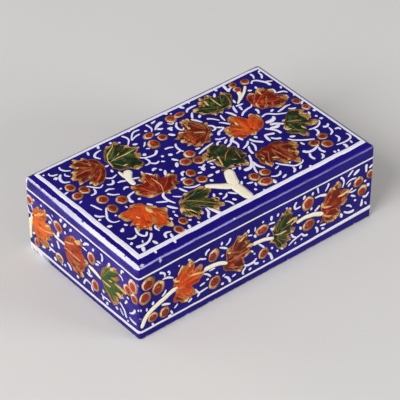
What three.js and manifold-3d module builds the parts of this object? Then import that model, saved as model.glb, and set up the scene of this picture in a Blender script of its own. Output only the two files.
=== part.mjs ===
// A lacquered papier-mache box with a lift-off lid.
//
// The body and the lid are two moulded paper shells. Both come off one wooden mould and are sawn
// apart at the seam. Four strips of pasteboard, mitred at the corners, are glued inside the body
// as its liner. They stand above the body's rim, and the lid drops over them and is centred by them.
//
// Millimetres, +Z up, X along the long sides. The origin is under the middle of the closed box.

import * as THREE from "three";
import { mergeVertices } from "three/addons/utils/BufferGeometryUtils.js";
import Module from "manifold-3d";

// The closed box
const boxLength = 152;
const boxWidth = 92;
const boxHeight = 48;
const cornerRadius = 2.2;
const lidHeight = 9.5; // from the lid's rim to its flat top
const seamGap = 0.3; // the hairline under the resting lid
const rimRadius = 0.4; // on the sawn edges of both shells

// The body shell
const bodyWall = 3.5;
const floorThickness = 3.5;
const footRadius = 1.2;
const bodyDraft = 0.4; // the foot is this much further in than the rim, on each side

// What the mould's worn edges leave inside both shells
const mouldCornerRadius = 1.5;
const mouldFloorRadius = 1;

// The lid shell: a flat top, then a slope down to a soft ridge, then a low upright side
const lidTopThickness = 3;
const slopeWidth = 4;
const slopeDrop = 3;
const ridgeRadius = 2;
const brinkRadius = 1; // between the flat top and the slope

// The liner
const linerThickness = 1.8;
const linerLipRadius = 0.8;
const headroom = 1.6; // between the liner's top and the lid's ceiling
const glueLine = 0.3; // between the liner and the walls and floor that it is glued to
const mitreGap = 0.3; // between two strips at a corner
const lidClearance = 0.45; // between the liner and the lid's inner faces

// How finely round stretches are cut, and the tightest corner that the mould and brush leave
const cornerSteps = 8;
const outerArcSteps = 8;
const innerArcSteps = 4;
const sharpestCorner = 0.3;

// Worked out from the above
const linerInset = bodyWall + glueLine;
const lidWall = linerInset - lidClearance;
const rimHeight = boxHeight - lidHeight - seamGap;
const linerHeight = boxHeight - lidTopThickness - headroom - floorThickness - glueLine;

const wasm = await Module();
wasm.setup();

// A rounded rectangle at one height, inset from the closed box's outer faces.
function levelAt(inset, height, corner) {
  const halfLength = boxLength / 2 - inset - corner;
  const halfWidth = boxWidth / 2 - inset - corner;
  const quarters = [
    [1, 1],
    [-1, 1],
    [-1, -1],
    [1, -1],
  ];
  return quarters.flatMap(([sideX, sideY], quarter) => {
    const arc = new THREE.EllipseCurve(
      sideX * halfLength,
      sideY * halfWidth,
      corner,
      corner,
      (quarter * Math.PI) / 2,
      ((quarter + 1) * Math.PI) / 2,
    );
    return arc.getPoints(cornerSteps).map((p) => new THREE.Vector3(p.x, p.y, height));
  });
}

// Levels for a profile, which is a path whose x is the inset and whose y is the height.
// The plan's corners get tighter as the profile goes further in than its base inset.
// A path gives each of its arcs two steps for each division asked for.
function levelsOf(profile, baseInset, baseCorner, steps) {
  return profile
    .getPoints(steps / 2)
    .map((p) =>
      levelAt(p.x, p.y, Math.max(sharpestCorner, baseCorner - (p.x - baseInset))),
    );
}

// Joins successive levels into one closed surface. An open list of levels gets a flat cap at each
// end: the first cap faces down and the last faces up. A ring's last level joins its first.
function loft(levels, isRing = false) {
  const count = levels[0].length;
  const vertices = levels.flat();
  const triangles = [];
  const bands = isRing ? levels.length : levels.length - 1;
  for (let band = 0; band < bands; band++) {
    const here = band * count;
    const next = ((band + 1) % levels.length) * count;
    for (let i = 0; i < count; i++) {
      const j = (i + 1) % count;
      triangles.push(here + i, here + j, next + j, here + i, next + j, next + i);
    }
  }
  if (!isRing) {
    const lastLevel = (levels.length - 1) * count;
    const firstCentre = vertices.push(new THREE.Vector3(0, 0, levels[0][0].z)) - 1;
    const lastCentre = vertices.push(new THREE.Vector3(0, 0, levels.at(-1)[0].z)) - 1;
    for (let i = 0; i < count; i++) {
      const j = (i + 1) % count;
      triangles.push(firstCentre, j, i);
      triangles.push(lastCentre, lastLevel + i, lastLevel + j);
    }
  }
  const geometry = new THREE.BufferGeometry().setFromPoints(vertices).setIndex(triangles);
  geometry.computeVertexNormals();
  return geometry;
}

function solidFrom(geometry) {
  const bare = new THREE.BufferGeometry()
    .setAttribute("position", geometry.getAttribute("position"))
    .setIndex(geometry.index);
  const merged = mergeVertices(bare);
  return new wasm.Manifold(
    new wasm.Mesh({
      numProp: 3,
      vertProperties: merged.attributes.position.array,
      triVerts: new Uint32Array(merged.index.array),
    }),
  );
}

function geometryFrom(solid) {
  const mesh = solid.getMesh();
  const geometry = new THREE.BufferGeometry()
    .setAttribute("position", new THREE.BufferAttribute(mesh.vertProperties, mesh.numProp))
    .setIndex(new THREE.BufferAttribute(mesh.triVerts, 1));
  geometry.computeVertexNormals();
  return geometry;
}

// The body: a tray with a rounded foot, a little draft on its sides and a softened rim
function bodyShell() {
  const outside = new THREE.Path()
    .moveTo(bodyDraft + footRadius, 0)
    .absarc(bodyDraft + footRadius, footRadius, footRadius, -Math.PI / 2, -Math.PI, true)
    .lineTo(0, rimHeight - rimRadius)
    .absarc(rimRadius, rimHeight - rimRadius, rimRadius, Math.PI, Math.PI / 2, true);
  const inside = new THREE.Path()
    .moveTo(bodyWall, rimHeight)
    .lineTo(bodyWall, floorThickness + mouldFloorRadius)
    .absarc(
      bodyWall + mouldFloorRadius,
      floorThickness + mouldFloorRadius,
      mouldFloorRadius,
      Math.PI,
      1.5 * Math.PI,
    );
  return loft([
    ...levelsOf(outside, 0, cornerRadius, outerArcSteps),
    ...levelsOf(inside, bodyWall, mouldCornerRadius, innerArcSteps),
  ]);
}

// The lid, with its rim at height 0: its ceiling and inner faces first, then up its outside
function lidShell() {
  const ceiling = lidHeight - lidTopThickness;
  const inside = new THREE.Path()
    .moveTo(lidWall + mouldFloorRadius, ceiling)
    .absarc(
      lidWall + mouldFloorRadius,
      ceiling - mouldFloorRadius,
      mouldFloorRadius,
      Math.PI / 2,
      Math.PI,
    )
    .lineTo(lidWall, 0);

  // The slope turns from its own angle to the flat top at the brink and to upright at the ridge.
  // Each arc starts its tangent length away from the corner that it rounds.
  const slope = Math.atan2(slopeDrop, slopeWidth);
  const ridgeTurn = Math.PI / 2 - slope;
  const ridgeTangent = ridgeRadius * Math.tan(ridgeTurn / 2);
  const ridgeHeight = lidHeight - slopeDrop;
  const brinkTangent = brinkRadius * Math.tan(slope / 2);
  const outside = new THREE.Path()
    .moveTo(rimRadius, 0)
    .absarc(rimRadius, rimRadius, rimRadius, -Math.PI / 2, -Math.PI, true)
    .lineTo(0, ridgeHeight - ridgeTangent)
    .absarc(ridgeRadius, ridgeHeight - ridgeTangent, ridgeRadius, Math.PI, Math.PI - ridgeTurn, true)
    .absarc(
      slopeWidth + brinkTangent,
      lidHeight - brinkRadius,
      brinkRadius,
      Math.PI / 2 + slope,
      Math.PI / 2,
      true,
    );
  return loft([
    ...levelsOf(inside, lidWall, mouldCornerRadius, innerArcSteps),
    ...levelsOf(outside, 0, cornerRadius, outerArcSteps),
  ]);
}

// The liner before it is cut into strips: a closed band whose foot clears the rounded mould edge
// of the floor, and whose outer lip is rounded so that the lid finds its way over it.
function linerBand() {
  const footChamfer = mouldFloorRadius;
  const innerInset = linerInset + linerThickness;
  const outside = new THREE.Path()
    .moveTo(linerInset + footChamfer, 0)
    .lineTo(linerInset, footChamfer)
    .lineTo(linerInset, linerHeight - linerLipRadius)
    .absarc(
      linerInset + linerLipRadius,
      linerHeight - linerLipRadius,
      linerLipRadius,
      Math.PI,
      Math.PI / 2,
      true,
    );
  const inside = new THREE.Path()
    .moveTo(innerInset - rimRadius, linerHeight)
    .absarc(
      innerInset - rimRadius,
      linerHeight - rimRadius,
      rimRadius,
      Math.PI / 2,
      0,
      true,
    )
    .lineTo(innerInset, 0);
  const bandCorner = mouldCornerRadius - glueLine;
  return loft(
    [
      ...levelsOf(outside, linerInset, bandCorner, innerArcSteps),
      ...levelsOf(inside, linerInset, bandCorner, innerArcSteps),
    ],
    true,
  );
}

// A prism that holds one side of the liner and ends on the 45 degree mitre lines of its corners.
// It is moved out by its share of the mitre gap.
function mitrePrism(normal) {
  const reach = 2 * (linerInset + linerThickness);
  const tangent = new THREE.Vector2(-normal.y, normal.x);
  const half = new THREE.Vector2(boxLength / 2, boxWidth / 2);
  const halfAcross = Math.abs(half.dot(normal));
  const halfAlong = Math.abs(half.dot(tangent));
  const shift = mitreGap / Math.SQRT2;
  const corner = (out, along) =>
    normal
      .clone()
      .multiplyScalar(halfAcross + out * reach + shift)
      .addScaledVector(tangent, along * (halfAlong + out * reach));
  const plan = new THREE.Shape([corner(1, -1), corner(1, 1), corner(-1, 1), corner(-1, -1)]);
  return new THREE.ExtrudeGeometry(plan, { depth: linerHeight + 2 * reach, bevelEnabled: false })
    .translate(0, 0, -reach);
}

const blueLacquer = new THREE.MeshStandardMaterial({
  color: 0x1d1a86,
  roughness: 0.22,
  metalness: 0,
});
const blackLacquer = new THREE.MeshStandardMaterial({
  color: 0x0b0a0c,
  roughness: 0.3,
  metalness: 0,
});

function named(name, geometry, material) {
  const mesh = new THREE.Mesh(geometry, material);
  mesh.name = name;
  return mesh;
}

const body = new THREE.Group();
body.add(named("body_shell", bodyShell(), blueLacquer));

const liner = new THREE.Group();
liner.position.z = floorThickness + glueLine;
const band = solidFrom(linerBand());
const linerSides = {
  liner_front: new THREE.Vector2(0, -1),
  liner_right: new THREE.Vector2(1, 0),
  liner_back: new THREE.Vector2(0, 1),
  liner_left: new THREE.Vector2(-1, 0),
};
for (const [name, normal] of Object.entries(linerSides)) {
  const strip = band.intersect(solidFrom(mitrePrism(normal)));
  liner.add(named(name, geometryFrom(strip), blackLacquer));
}
body.add(liner);

const lid = new THREE.Group();
lid.position.z = rimHeight + seamGap;
lid.add(named("lid_shell", lidShell(), blueLacquer));

const box = new THREE.Group();
box.add(body, lid);

export default box;
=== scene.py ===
# %% [markdown]
# # A painted papier-mache box
# The box is two paper shells, a body and a lift-off lid, under a deep blue lacquer. A painter has
# covered it with plane-tree leaves, berries and small white scrolls, inside white framing lines.
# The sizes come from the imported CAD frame. Everything here is built around that frame, in metres.

# %% Load the frame
import math
import random

import bpy
from mathutils import Matrix, Vector, noise


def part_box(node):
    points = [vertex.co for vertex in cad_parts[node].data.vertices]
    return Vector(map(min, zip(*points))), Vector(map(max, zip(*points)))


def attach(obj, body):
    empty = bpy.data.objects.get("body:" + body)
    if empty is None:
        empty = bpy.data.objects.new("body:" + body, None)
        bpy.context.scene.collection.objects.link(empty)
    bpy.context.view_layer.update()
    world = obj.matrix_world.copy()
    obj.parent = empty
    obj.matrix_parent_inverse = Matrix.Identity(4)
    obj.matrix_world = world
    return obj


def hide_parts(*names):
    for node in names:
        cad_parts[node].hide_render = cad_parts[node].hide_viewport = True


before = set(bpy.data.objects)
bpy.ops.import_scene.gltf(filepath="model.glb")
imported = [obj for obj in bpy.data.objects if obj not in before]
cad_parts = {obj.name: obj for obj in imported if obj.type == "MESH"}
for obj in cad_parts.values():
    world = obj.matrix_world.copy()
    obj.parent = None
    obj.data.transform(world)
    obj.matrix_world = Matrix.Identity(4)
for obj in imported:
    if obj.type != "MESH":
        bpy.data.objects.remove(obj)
bpy.ops.object.select_all(action="DESELECT")
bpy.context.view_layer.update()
print("CAD nodes:", sorted(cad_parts))

# %% [markdown]
# ## The faces as the painter sees them
# Ornament is easiest to lay out flat, in millimetres, as on paper: u runs to the right and v runs
# up, and the height of the paint is the third number. These cells say how a flat point is laid on
# the top or wrapped round a side. A side's paint bends round the corner with the shell, and each
# side owns its corner as far as the diagonal.

# %% Sizes that the paint follows
MM = 0.001
lid_low, lid_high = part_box("lid_shell")
body_low, body_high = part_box("body_shell")
HALF_LENGTH = lid_high.x / MM
HALF_WIDTH = lid_high.y / MM
TOP = lid_high.z / MM
RIM = body_high.z / MM
CORNER = 2.2  # the corner radius of both shells
DRAFT = 0.4  # how far the body's foot is inside its rim
FOOT = 1.2  # the radius at the body's foot
SLOPE_WIDTH = 4.0  # the lid's slope, from its side to its flat top
SLOPE_DROP = 3.0
BRINK = 1.0  # the radius between slope and flat top
SINK = 0.05  # how deep the underside of any paint lies in the lacquer
print(f"half length {HALF_LENGTH:.1f}, half width {HALF_WIDTH:.1f}, top at {TOP:.1f} mm")

SIDES = {  # which way each faces, which way u runs, how far out it is, and its half length
    "front": (Vector((0, -1)), Vector((1, 0)), HALF_WIDTH, HALF_LENGTH),
    "right": (Vector((1, 0)), Vector((0, 1)), HALF_LENGTH, HALF_WIDTH),
    "back": (Vector((0, 1)), Vector((-1, 0)), HALF_WIDTH, HALF_LENGTH),
    "left": (Vector((-1, 0)), Vector((0, -1)), HALF_LENGTH, HALF_WIDTH),
}


# %% Lay a flat point on the lid's top
def lid_height(inset):
    """The height of the lid's outer face at a distance in from its sides."""
    slope = SLOPE_DROP / SLOPE_WIDTH
    angle = math.atan(slope)
    brink_end = SLOPE_WIDTH + BRINK * math.tan(angle / 2)
    if inset >= brink_end:
        return TOP
    if inset >= brink_end - BRINK * math.sin(angle):
        return TOP - BRINK + math.sqrt(BRINK**2 - (brink_end - inset) ** 2)
    return TOP - slope * (SLOPE_WIDTH - inset)


def on_top(point):
    u, v, lift = point
    inset = min(HALF_LENGTH - abs(u), HALF_WIDTH - abs(v))
    return Vector((u, v, lid_height(inset) + lift)) * MM


# %% Wrap a flat point round a side
def foot_inset(height):
    """How far the body's outer face is in from its rim's line, at a height."""
    if height < FOOT:
        return DRAFT + FOOT - math.sqrt(max(0, FOOT**2 - (FOOT - height) ** 2))
    return DRAFT * max(0, 1 - (height - FOOT) / (RIM - FOOT))


def on_side(side, drafted):
    out, along, half_out, half_along = SIDES[side]

    def lay(point):
        u, v, lift = point
        inset = foot_inset(v) if drafted else 0
        straight = half_along - CORNER
        distance, sideways = half_out - inset + lift, u
        if abs(u) > straight:
            turn = (abs(u) - straight) / CORNER * math.pi / 4
            radius = CORNER - inset + lift
            distance = half_out - CORNER + radius * math.cos(turn)
            sideways = math.copysign(straight + radius * math.sin(turn), u)
        plan = out * distance + along * sideways
        return Vector((plan.x, plan.y, v)) * MM

    return lay


def body_of(face):
    """Which body a painted face belongs to."""
    return "lid" if face == "top" else "body"


LAYS = {"top": on_top}
for side in SIDES:
    LAYS[side] = on_side(side, True)
    LAYS["lid_" + side] = on_side(side, False)
print("places to paint:", sorted(LAYS))

# %% [markdown]
# ## Finishes as sums
# A shader is easier to read as a sum than as boxes and wires. `Shade` wraps one socket, and its
# operators add Math nodes. `Finish` is one material: a Principled shader whose even values sit on
# its own sockets, and one method that adds any other node.


# %% Shader maths as Python expressions
class Shade:
    """One value in a material. An operator on it adds a Math node."""

    def __init__(self, finish, socket):
        self.finish, self.socket = finish, socket

    def math(self, operation, *values, clamp=False):
        made = self.finish.node(
            "ShaderNodeMath", {"operation": operation, "use_clamp": clamp}, dict(enumerate(values))
        )
        return made["Value"]

    def __add__(self, other):
        return self.math("ADD", self, other)

    def __sub__(self, other):
        return self.math("SUBTRACT", self, other)

    def __rsub__(self, other):
        return self.math("SUBTRACT", other, self)

    def __mul__(self, other):
        return self.math("MULTIPLY", self, other)

    def __truediv__(self, other):
        return self.math("DIVIDE", self, other)

    def __neg__(self):
        return self.math("MULTIPLY", self, -1)

    def __abs__(self):
        return self.math("ABSOLUTE", self)

    __radd__, __rmul__ = __add__, __mul__

    def most(self, other):
        return self.math("MAXIMUM", self, other)

    def held(self):
        """The value kept between 0 and 1."""
        return self.math("ADD", self, 0, clamp=True)

    def rise(self, start, end):
        """0 before start, 1 after end, and a smooth rise between them. It falls if end is lower."""
        made = self.finish.node(
            "ShaderNodeMapRange",
            {"interpolation_type": "SMOOTHSTEP"},
            {"Value": self, "From Min": start, "From Max": end},
        )
        return made["Result"]


class Finish:
    """One material, with a Principled shader and the nodes that feed it."""

    def __init__(self, name, **even):
        self.material = bpy.data.materials.new(name)
        self.material.use_nodes = True
        self.tree = self.material.node_tree
        self.shader = self.tree.nodes["Principled BSDF"]
        for socket, value in even.items():
            self.shader.inputs[socket.replace("_", " ")].default_value = value

    def node(self, kind, settings=None, sockets=None):
        """Adds a node and returns its outputs by name, each as a Shade."""
        made = self.tree.nodes.new(kind)
        for name, value in (settings or {}).items():
            setattr(made, name, value)
        for name, value in (sockets or {}).items():
            self.feed(made.inputs[name], value)
        return {out.name: Shade(self, out) for out in made.outputs if out.enabled}

    def feed(self, socket, value):
        if isinstance(value, Shade):
            self.tree.links.new(value.socket, socket)
        else:
            socket.default_value = value

    def paint(self, **varying):
        """Feeds the shader's own sockets with what changes over the surface."""
        for name, value in varying.items():
            self.feed(self.shader.inputs[name.replace("_", " ")], value)

    def place(self):
        return self.node("ShaderNodeTexCoord")["Object"]

    def stretched(self, vector, scale):
        return self.node("ShaderNodeMapping", {}, {"Vector": vector, "Scale": scale})["Vector"]

    def cloudy(self, vector, scale, detail=2.0, roughness=0.5):
        """A smooth random value around 0.5."""
        made = self.node(
            "ShaderNodeTexNoise",
            {},
            {"Vector": vector, "Scale": scale, "Detail": detail, "Roughness": roughness},
        )
        return made["Fac"]

    def mark(self, name):
        """A float attribute of the mesh's points."""
        return self.node("ShaderNodeAttribute", {"attribute_name": name})["Fac"]

    def parts(self, vector):
        made = self.node("ShaderNodeSeparateXYZ", {}, {"Vector": vector})
        return made["X"], made["Y"], made["Z"]

    def joined(self, x, y, z):
        return self.node("ShaderNodeCombineXYZ", {}, {"X": x, "Y": y, "Z": z})["Vector"]

    def mixed(self, factor, first, second):
        """A colour between two, which may be colours or other mixes."""
        made = self.tree.nodes.new("ShaderNodeMix")
        made.data_type = "RGBA"
        for socket, value in ((0, factor), (6, first), (7, second)):
            self.feed(made.inputs[socket], value)
        return Shade(self, made.outputs[2])

    def bumped(self, height, depth, strength=1.0):
        made = self.node(
            "ShaderNodeBump", {}, {"Strength": strength, "Distance": depth, "Height": height}
        )
        return made["Normal"]


def colour(red, green, blue):
    """A colour as a shader wants it, from the 0 to 255 numbers of a colour picker."""
    linear = []
    for value in (red, green, blue):
        value /= 255
        linear.append(value / 12.92 if value <= 0.04045 else ((value + 0.055) / 1.055) ** 2.4)
    return (*linear, 1)


print("Shade and Finish are ready")

# %% [markdown]
# ## The lacquer
# The ground is a deep ultramarine, brushed on in a few coats and sealed with clear lacquer. Up
# close it is never even: the brush leaves faint streaks and cloudy patches, and the gloss is a
# little wavy, because the paper under it is. Where hands wear the edges, the white gesso shows.
# The left end of the lid has been handled most. Along its slope runs one pale band, partly worn
# through to the gesso and partly a painted highlight of light from the left, with a chipped upper
# edge and a soft lower one. The whole left end has a faint purple painted sheen, light painted on
# as from a lamp on that side, which thins out towards the foot.

# %% The blue lacquer
# The first colour also paints the highlight of the lid's left slope, the second the highlight line
# along the lid's ridge, and the third is a painted sheen of light on the left end.
GESSO_AND_HIGHLIGHT, RUBBED_AND_RIDGE_HIGHLIGHT, LEFT_END_SHEEN = colour(232, 230, 244), colour(184, 176, 230), colour(122, 94, 212)
RIDGE = 45.3  # the height of the painted highlight line along the lid's ridge
LEFT_END_SHEEN_EDGE = (74.5, 75.6)  # how far left the painted sheen sets in, and where it is full
FRONT_RIDGE_SPOTS = (  # white spots on the front ridge: along, up, how wide and how high
    (-62.3, 44.2, 1.2, 1.5),
    (-16.0, 45.5, 0.8, 0.4),
    (-72.4, 45.9, 1.8, 0.5),
)


def streaked(finish, place):
    """Brush streaks that run along the long sides."""
    return finish.cloudy(finish.stretched(place, (60, 900, 900)), 1.0, 2.0)


def lacquer(finish, place, dark, light):
    """The colour, roughness and gloss waves of a brushed lacquer ground."""
    clouds = finish.cloudy(place, 55.0, 3.0)
    tone = (clouds * 0.7 + streaked(finish, place) * 0.5 - 0.35).held()
    ground = finish.mixed(tone, dark, light)
    roughness = 0.17 + finish.cloudy(place, 160.0, 2.0) * 0.12
    waves = finish.cloudy(place, 45.0, 1.0) * 0.8 + finish.cloudy(place, 420.0, 2.0) * 0.06
    return ground, roughness, finish.bumped(waves, 0.00035, 0.5)


def lid_wear_and_light(finish, place, x, y, z):
    """How far the lid shows gesso, partly worn and partly a painted highlight on its left slope,
    and how far it takes the painted highlight line along its ridge, from 0 to 1. The places are in
    millimetres."""
    chips = finish.cloudy(place, 620.0, 3.0, 0.6)
    rough = chips - 0.5
    broad = finish.cloudy(place, 40.0, 1.0)
    from_left, from_back, from_side = x + HALF_LENGTH, HALF_WIDTH - y, HALF_WIDTH - abs(y)

    # the pale band of the left end, part wear and part painted highlight: chipped above, soft
    # below, and thinner at its far end
    swell = (1 - abs(y - 13) / 11).held()
    far = y.rise(4, 34)
    upper = (1.85 + swell * 0.35 - far * 0.35 + rough * 0.9 - from_left).rise(0.0, 0.2)
    for at, wide in ((33.2, 1.0), (-0.8, 0.9), (-34.5, 0.6)):
        near = 1 - abs(y - at + rough).rise(wide * 0.4, wide)
        upper = upper * (1 - near * from_left.rise(0.9, 1.3) * 0.9)
    lower = (z - far * 0.75 + rough * 0.7).rise(44.35, 45.05)
    band = upper * lower * (0.93 + (broad - 0.5) * 0.5 - y.rise(-6, 8) * 0.12).held()

    # a thin painted highlight line on the ridge of the other sides, fading to the right
    drift = finish.cloudy(place, 90.0, 2.0)
    ridge = 1 - abs(z - RIDGE + rough * 0.4 + (drift - 0.5) * 0.7).rise(0.12, 0.5)
    fading = 0.7 - x.rise(-60, 50) * 0.42 + (drift - 0.5) * 0.8
    line = ridge * (1 - from_side.rise(1.0, 1.6)) * fading

    # chips at the left corners, and the white spots of the front ridge
    corner = (chips * 1.3 - (from_left + from_side) * 0.12).rise(0.38, 0.46) * ridge
    scraped = (chips * 1.6 - (from_left + from_back) * 0.2).rise(0.25, 0.4)
    front_ridge_spots = 0
    for at, height, wide, high in FRONT_RIDGE_SPOTS:
        away = abs((x - at) / wide) + abs((z - height) / high) + rough * 1.2
        front_ridge_spots = front_ridge_spots + (1 - away.rise(0.7, 1.15)) * (-y).rise(43, 44) * 0.6
    return (band + corner + scraped + front_ridge_spots).held(), line.held()


def body_wear(finish, place, x, y, z):
    """The same for the body: at its upright corners and along its foot."""
    chips = finish.cloudy(place, 480.0, 3.0, 0.6)
    streaks = finish.cloudy(finish.stretched(place, (300, 160, 700)), 1.0, 3.0)
    from_end, from_side = HALF_LENGTH - abs(x), HALF_WIDTH - abs(y)
    upright = (chips - (from_end + from_side) * 0.07).rise(0.46, 0.56)
    foot = (chips - z * 0.16).rise(0.42, 0.5)
    scraped = (streaks - (z - 3.4).most(0) * 0.5).rise(0.4, 0.5)
    scraped = scraped * y.rise(26, 36) * (-x).rise(70, 75)
    return scraped, (upright * 0.6 + foot * 0.7).held()


BLUE_DARK, BLUE_LIGHT = colour(18, 7, 92), colour(43, 29, 148)
blue = {}
for shell, wear_and_light in (("lid", lid_wear_and_light), ("body", body_wear)):
    finish = Finish("blue_lacquer_" + shell, Specular_IOR_Level=0.08)
    place = finish.place()
    ground, roughness, waves = lacquer(finish, place, BLUE_DARK, BLUE_LIGHT)
    x, y, z = (part / MM for part in finish.parts(place))
    drawn_out = finish.stretched(place, (200, 110, 190))
    patches = finish.cloudy(drawn_out, 1.0, 3.0, 0.6).rise(0.36, 0.64)
    # painted sheen: the left end is lighter and more purple, as light falling from that side would
    # make it
    left_end_sheen = (-x).rise(*LEFT_END_SHEEN_EDGE) * (patches * 0.2 + 0.06) * (z.rise(0, 30) * 0.6 + 0.4)
    ground = finish.mixed(left_end_sheen, ground, LEFT_END_SHEEN)
    # the first mask is worn gesso, and on the lid it also holds the painted highlight of the left
    # slope
    bare_and_highlight, rubbed_and_ridge_highlight = wear_and_light(finish, place, x, y, z)
    # the second mask is worn paint on the body, and on the lid a painted highlight line along the
    # ridge
    finish.paint(
        Base_Color=finish.mixed(bare_and_highlight, finish.mixed(rubbed_and_ridge_highlight, ground, RUBBED_AND_RIDGE_HIGHLIGHT), GESSO_AND_HIGHLIGHT),
        Roughness=roughness + bare_and_highlight * 0.25,
        Normal=waves,
    )
    blue[shell] = finish
print("blue lacquer for", sorted(blue))

# %% [markdown]
# ## The black inside
# Inside, such a box is finished in plain black lacquer, brushed more thinly. It is a little
# browner and duller than the outside, with the brush marks running along each wall.

# %% The black lacquer
black = Finish("black_lacquer", Specular_IOR_Level=0.4)
place = black.place()
ground, roughness, waves = lacquer(black, place, colour(17, 13, 15), colour(38, 29, 27))
black.paint(Base_Color=ground, Roughness=roughness + 0.14, Normal=waves)
for name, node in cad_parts.items():
    if name.startswith("liner_"):
        node.data.materials.clear()
        node.data.materials.append(black.material)
print("black lacquer on the liner")

# %% [markdown]
# ## The two shells
# The CAD shells arrive as loose flat triangles. A copy with its doubles merged can be shaded
# smooth, so that the rounded corners and the ridge catch one clean line of light. The faces that
# look into the box get the black lacquer, picked by where they are.


# %% Copy, merge and smooth a shell
def only(*objects):
    """Selects these objects, with the first as the active one."""
    bpy.ops.object.select_all(action="DESELECT")
    for each in objects:
        each.select_set(True)
    bpy.context.view_layer.objects.active = objects[0]


def looks_outwards(at, normal):
    """Whether a shell's face turns away from the box's middle, or is on the top of the lid."""
    away = normal.x * math.copysign(1, at.x) + normal.y * math.copysign(1, at.y)
    return away > 0.2 or (normal.z > 0.3 and at.z > TOP - SLOPE_DROP)


def finished_shell(name, node, body):
    shell = bpy.data.objects.new(name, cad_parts[node].data.copy())
    bpy.context.collection.objects.link(shell)
    only(shell)
    bpy.ops.object.mode_set(mode="EDIT")
    bpy.ops.mesh.select_all(action="SELECT")
    bpy.ops.mesh.remove_doubles(threshold=1e-6)
    bpy.ops.mesh.tris_convert_to_quads(face_threshold=0.02, shape_threshold=0.7)
    bpy.ops.object.mode_set(mode="OBJECT")
    bpy.ops.object.shade_smooth_by_angle(angle=math.radians(35))
    shell.data.materials.clear()
    shell.data.materials.append(blue[body].material)
    shell.data.materials.append(black.material)
    blacks = 0
    for face in shell.data.polygons:
        face.material_index = int(not looks_outwards(face.center / MM, face.normal))
        blacks += face.material_index
    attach(shell, body)
    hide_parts(node)
    print(name, "has", len(shell.data.polygons), "faces,", blacks, "of them black")


finished_shell("body_shell_lacquered", "body_shell", "body")
finished_shell("lid_shell_lacquered", "lid_shell", "lid")

# %% [markdown]
# ## A brush stroke
# Nearly all of the white, cream and gold work is made of single strokes: the brush is set down,
# pulled along a curve and lifted. A curve object does just that, with a radius at each point. A
# round tube is far too fat for paint, so its upper half is pressed down to a film of at most 0.2
# millimetres, and its lower half to less, which sinks into the lacquer.


# %% Read strokes from a short notation
def strokes_from(text):
    """Strokes are parted by ';'. Each has a width, then its points. '1.4>0.7' is a taper."""
    strokes = []
    for words in (part.split() for part in text.split(";")):
        if words:
            widths = [float(width) for width in words[0].split(">")]
            numbers = [float(word) for word in words[1:]]
            strokes.append((widths, list(zip(numbers[::2], numbers[1::2]))))
    return strokes


# %% Pull the brush along a stroke
STEP = 0.75  # between the points along a stroke
PATH_STEP = 0.3  # between the points of the smooth curve that a stroke or outline follows


def smooth_path(points, closed=False):
    """Close points on a smooth curve through the given ones."""
    points = [Vector(point) for point in points]
    if closed:
        ends = [points[-1], *points, points[0], points[1]]
    else:
        ends = [2 * points[0] - points[1], *points, 2 * points[-1] - points[-2]]
    path = []
    for before, start, end, after in zip(ends, ends[1:], ends[2:], ends[3:]):
        steps = max(2, math.ceil((end - start).length / PATH_STEP))
        for step in range(steps):
            t = step / steps
            path.append(
                0.5
                * (
                    2 * start
                    + (end - before) * t
                    + (2 * before - 5 * start + 4 * end - after) * t**2
                    + (3 * start - before - 3 * end + after) * t**3
                )
            )
    return path if closed else path + [points[-1]]


def reaches(path):
    """How far along a path each of its points is."""
    reach = [0.0]
    for here, there in zip(path, path[1:]):
        reach.append(reach[-1] + (there - here).length)
    return reach


def between(path, reach, i, distance):
    """The place at a distance along a path, on the stretch that starts at its point i."""
    span = max(reach[i + 1] - reach[i], 1e-9)
    return path[i].lerp(path[i + 1], (distance - reach[i]) / span)


def trace(widths, points):
    """Places along a stroke, each with the stroke's half width there. Both ends are rounded."""
    if len(points) == 1:
        dot, lean = Vector(points[0]), 3 * noise.noise(Vector((*points[0], 0.5)))
        half = Vector((math.cos(lean), math.sin(lean))) * 0.35 * widths[0]
        points = [dot - half, dot + half]
    path = smooth_path(points)
    reach = reaches(path)
    length = reach[-1]

    def at(distance):
        for i in range(len(path) - 1):
            if distance <= reach[i + 1] or i == len(path) - 2:
                return between(path, reach, i, distance)

    def half_width(distance):
        if len(widths) == 1:
            return widths[0] / 2
        along = min(max(distance / max(length, 1e-9), 0), 1) * (len(widths) - 1)
        i = min(int(along), len(widths) - 2)
        return (widths[i] + (widths[i + 1] - widths[i]) * (along - i)) / 2

    first, last = half_width(0), half_width(length)
    start, end = -0.4 * first, length + 0.4 * last
    room = end - start
    caps = [min(first, room / 2), min(last, room / 2)]
    places = [start + caps[0] * share for share in (0, 0.1, 0.4)]
    middle = max(1, math.ceil((room - sum(caps)) / STEP))
    places += [start + caps[0] + (room - sum(caps)) * i / middle for i in range(middle + 1)]
    places += [end - caps[1] * share for share in (0.4, 0.1, 0)]
    traced = []
    for place in places:
        from_end = min((place - start) / caps[0], (end - place) / caps[1], 1)
        roundness = math.sqrt(max(0.004, 1 - (1 - from_end) ** 2))
        traced.append((at(place), half_width(place) * roundness))
    return traced


# %% Press a tube down to a film of paint
FULL_RADIUS = 0.5  # a stroke of this radius has 63% of its film's thickness


def pressed(height, film):
    """The height that a tube's point keeps. Wide strokes end up hardly thicker than thin ones."""
    if height > 0:
        return film * (1 - math.exp(-height / FULL_RADIUS))
    return -SINK * (1 - math.exp(height / FULL_RADIUS))


def laid_mesh(piece, lay, film, lift=0.0):
    """Presses a flat piece, in millimetres, and lays it on its face, in metres."""
    for vertex in piece.data.vertices:
        x, y, z = vertex.co
        vertex.co = lay((x, y, pressed(z, film) + (lift if z > 0 else 0)))
    piece.data.update()


COMMA = (0.8, 1.12, 1.05, 0.62)  # how a stroke of one width swells and thins
LEAF_TOUCH = (0.35, 1.05, 0.95, 0.3)


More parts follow.
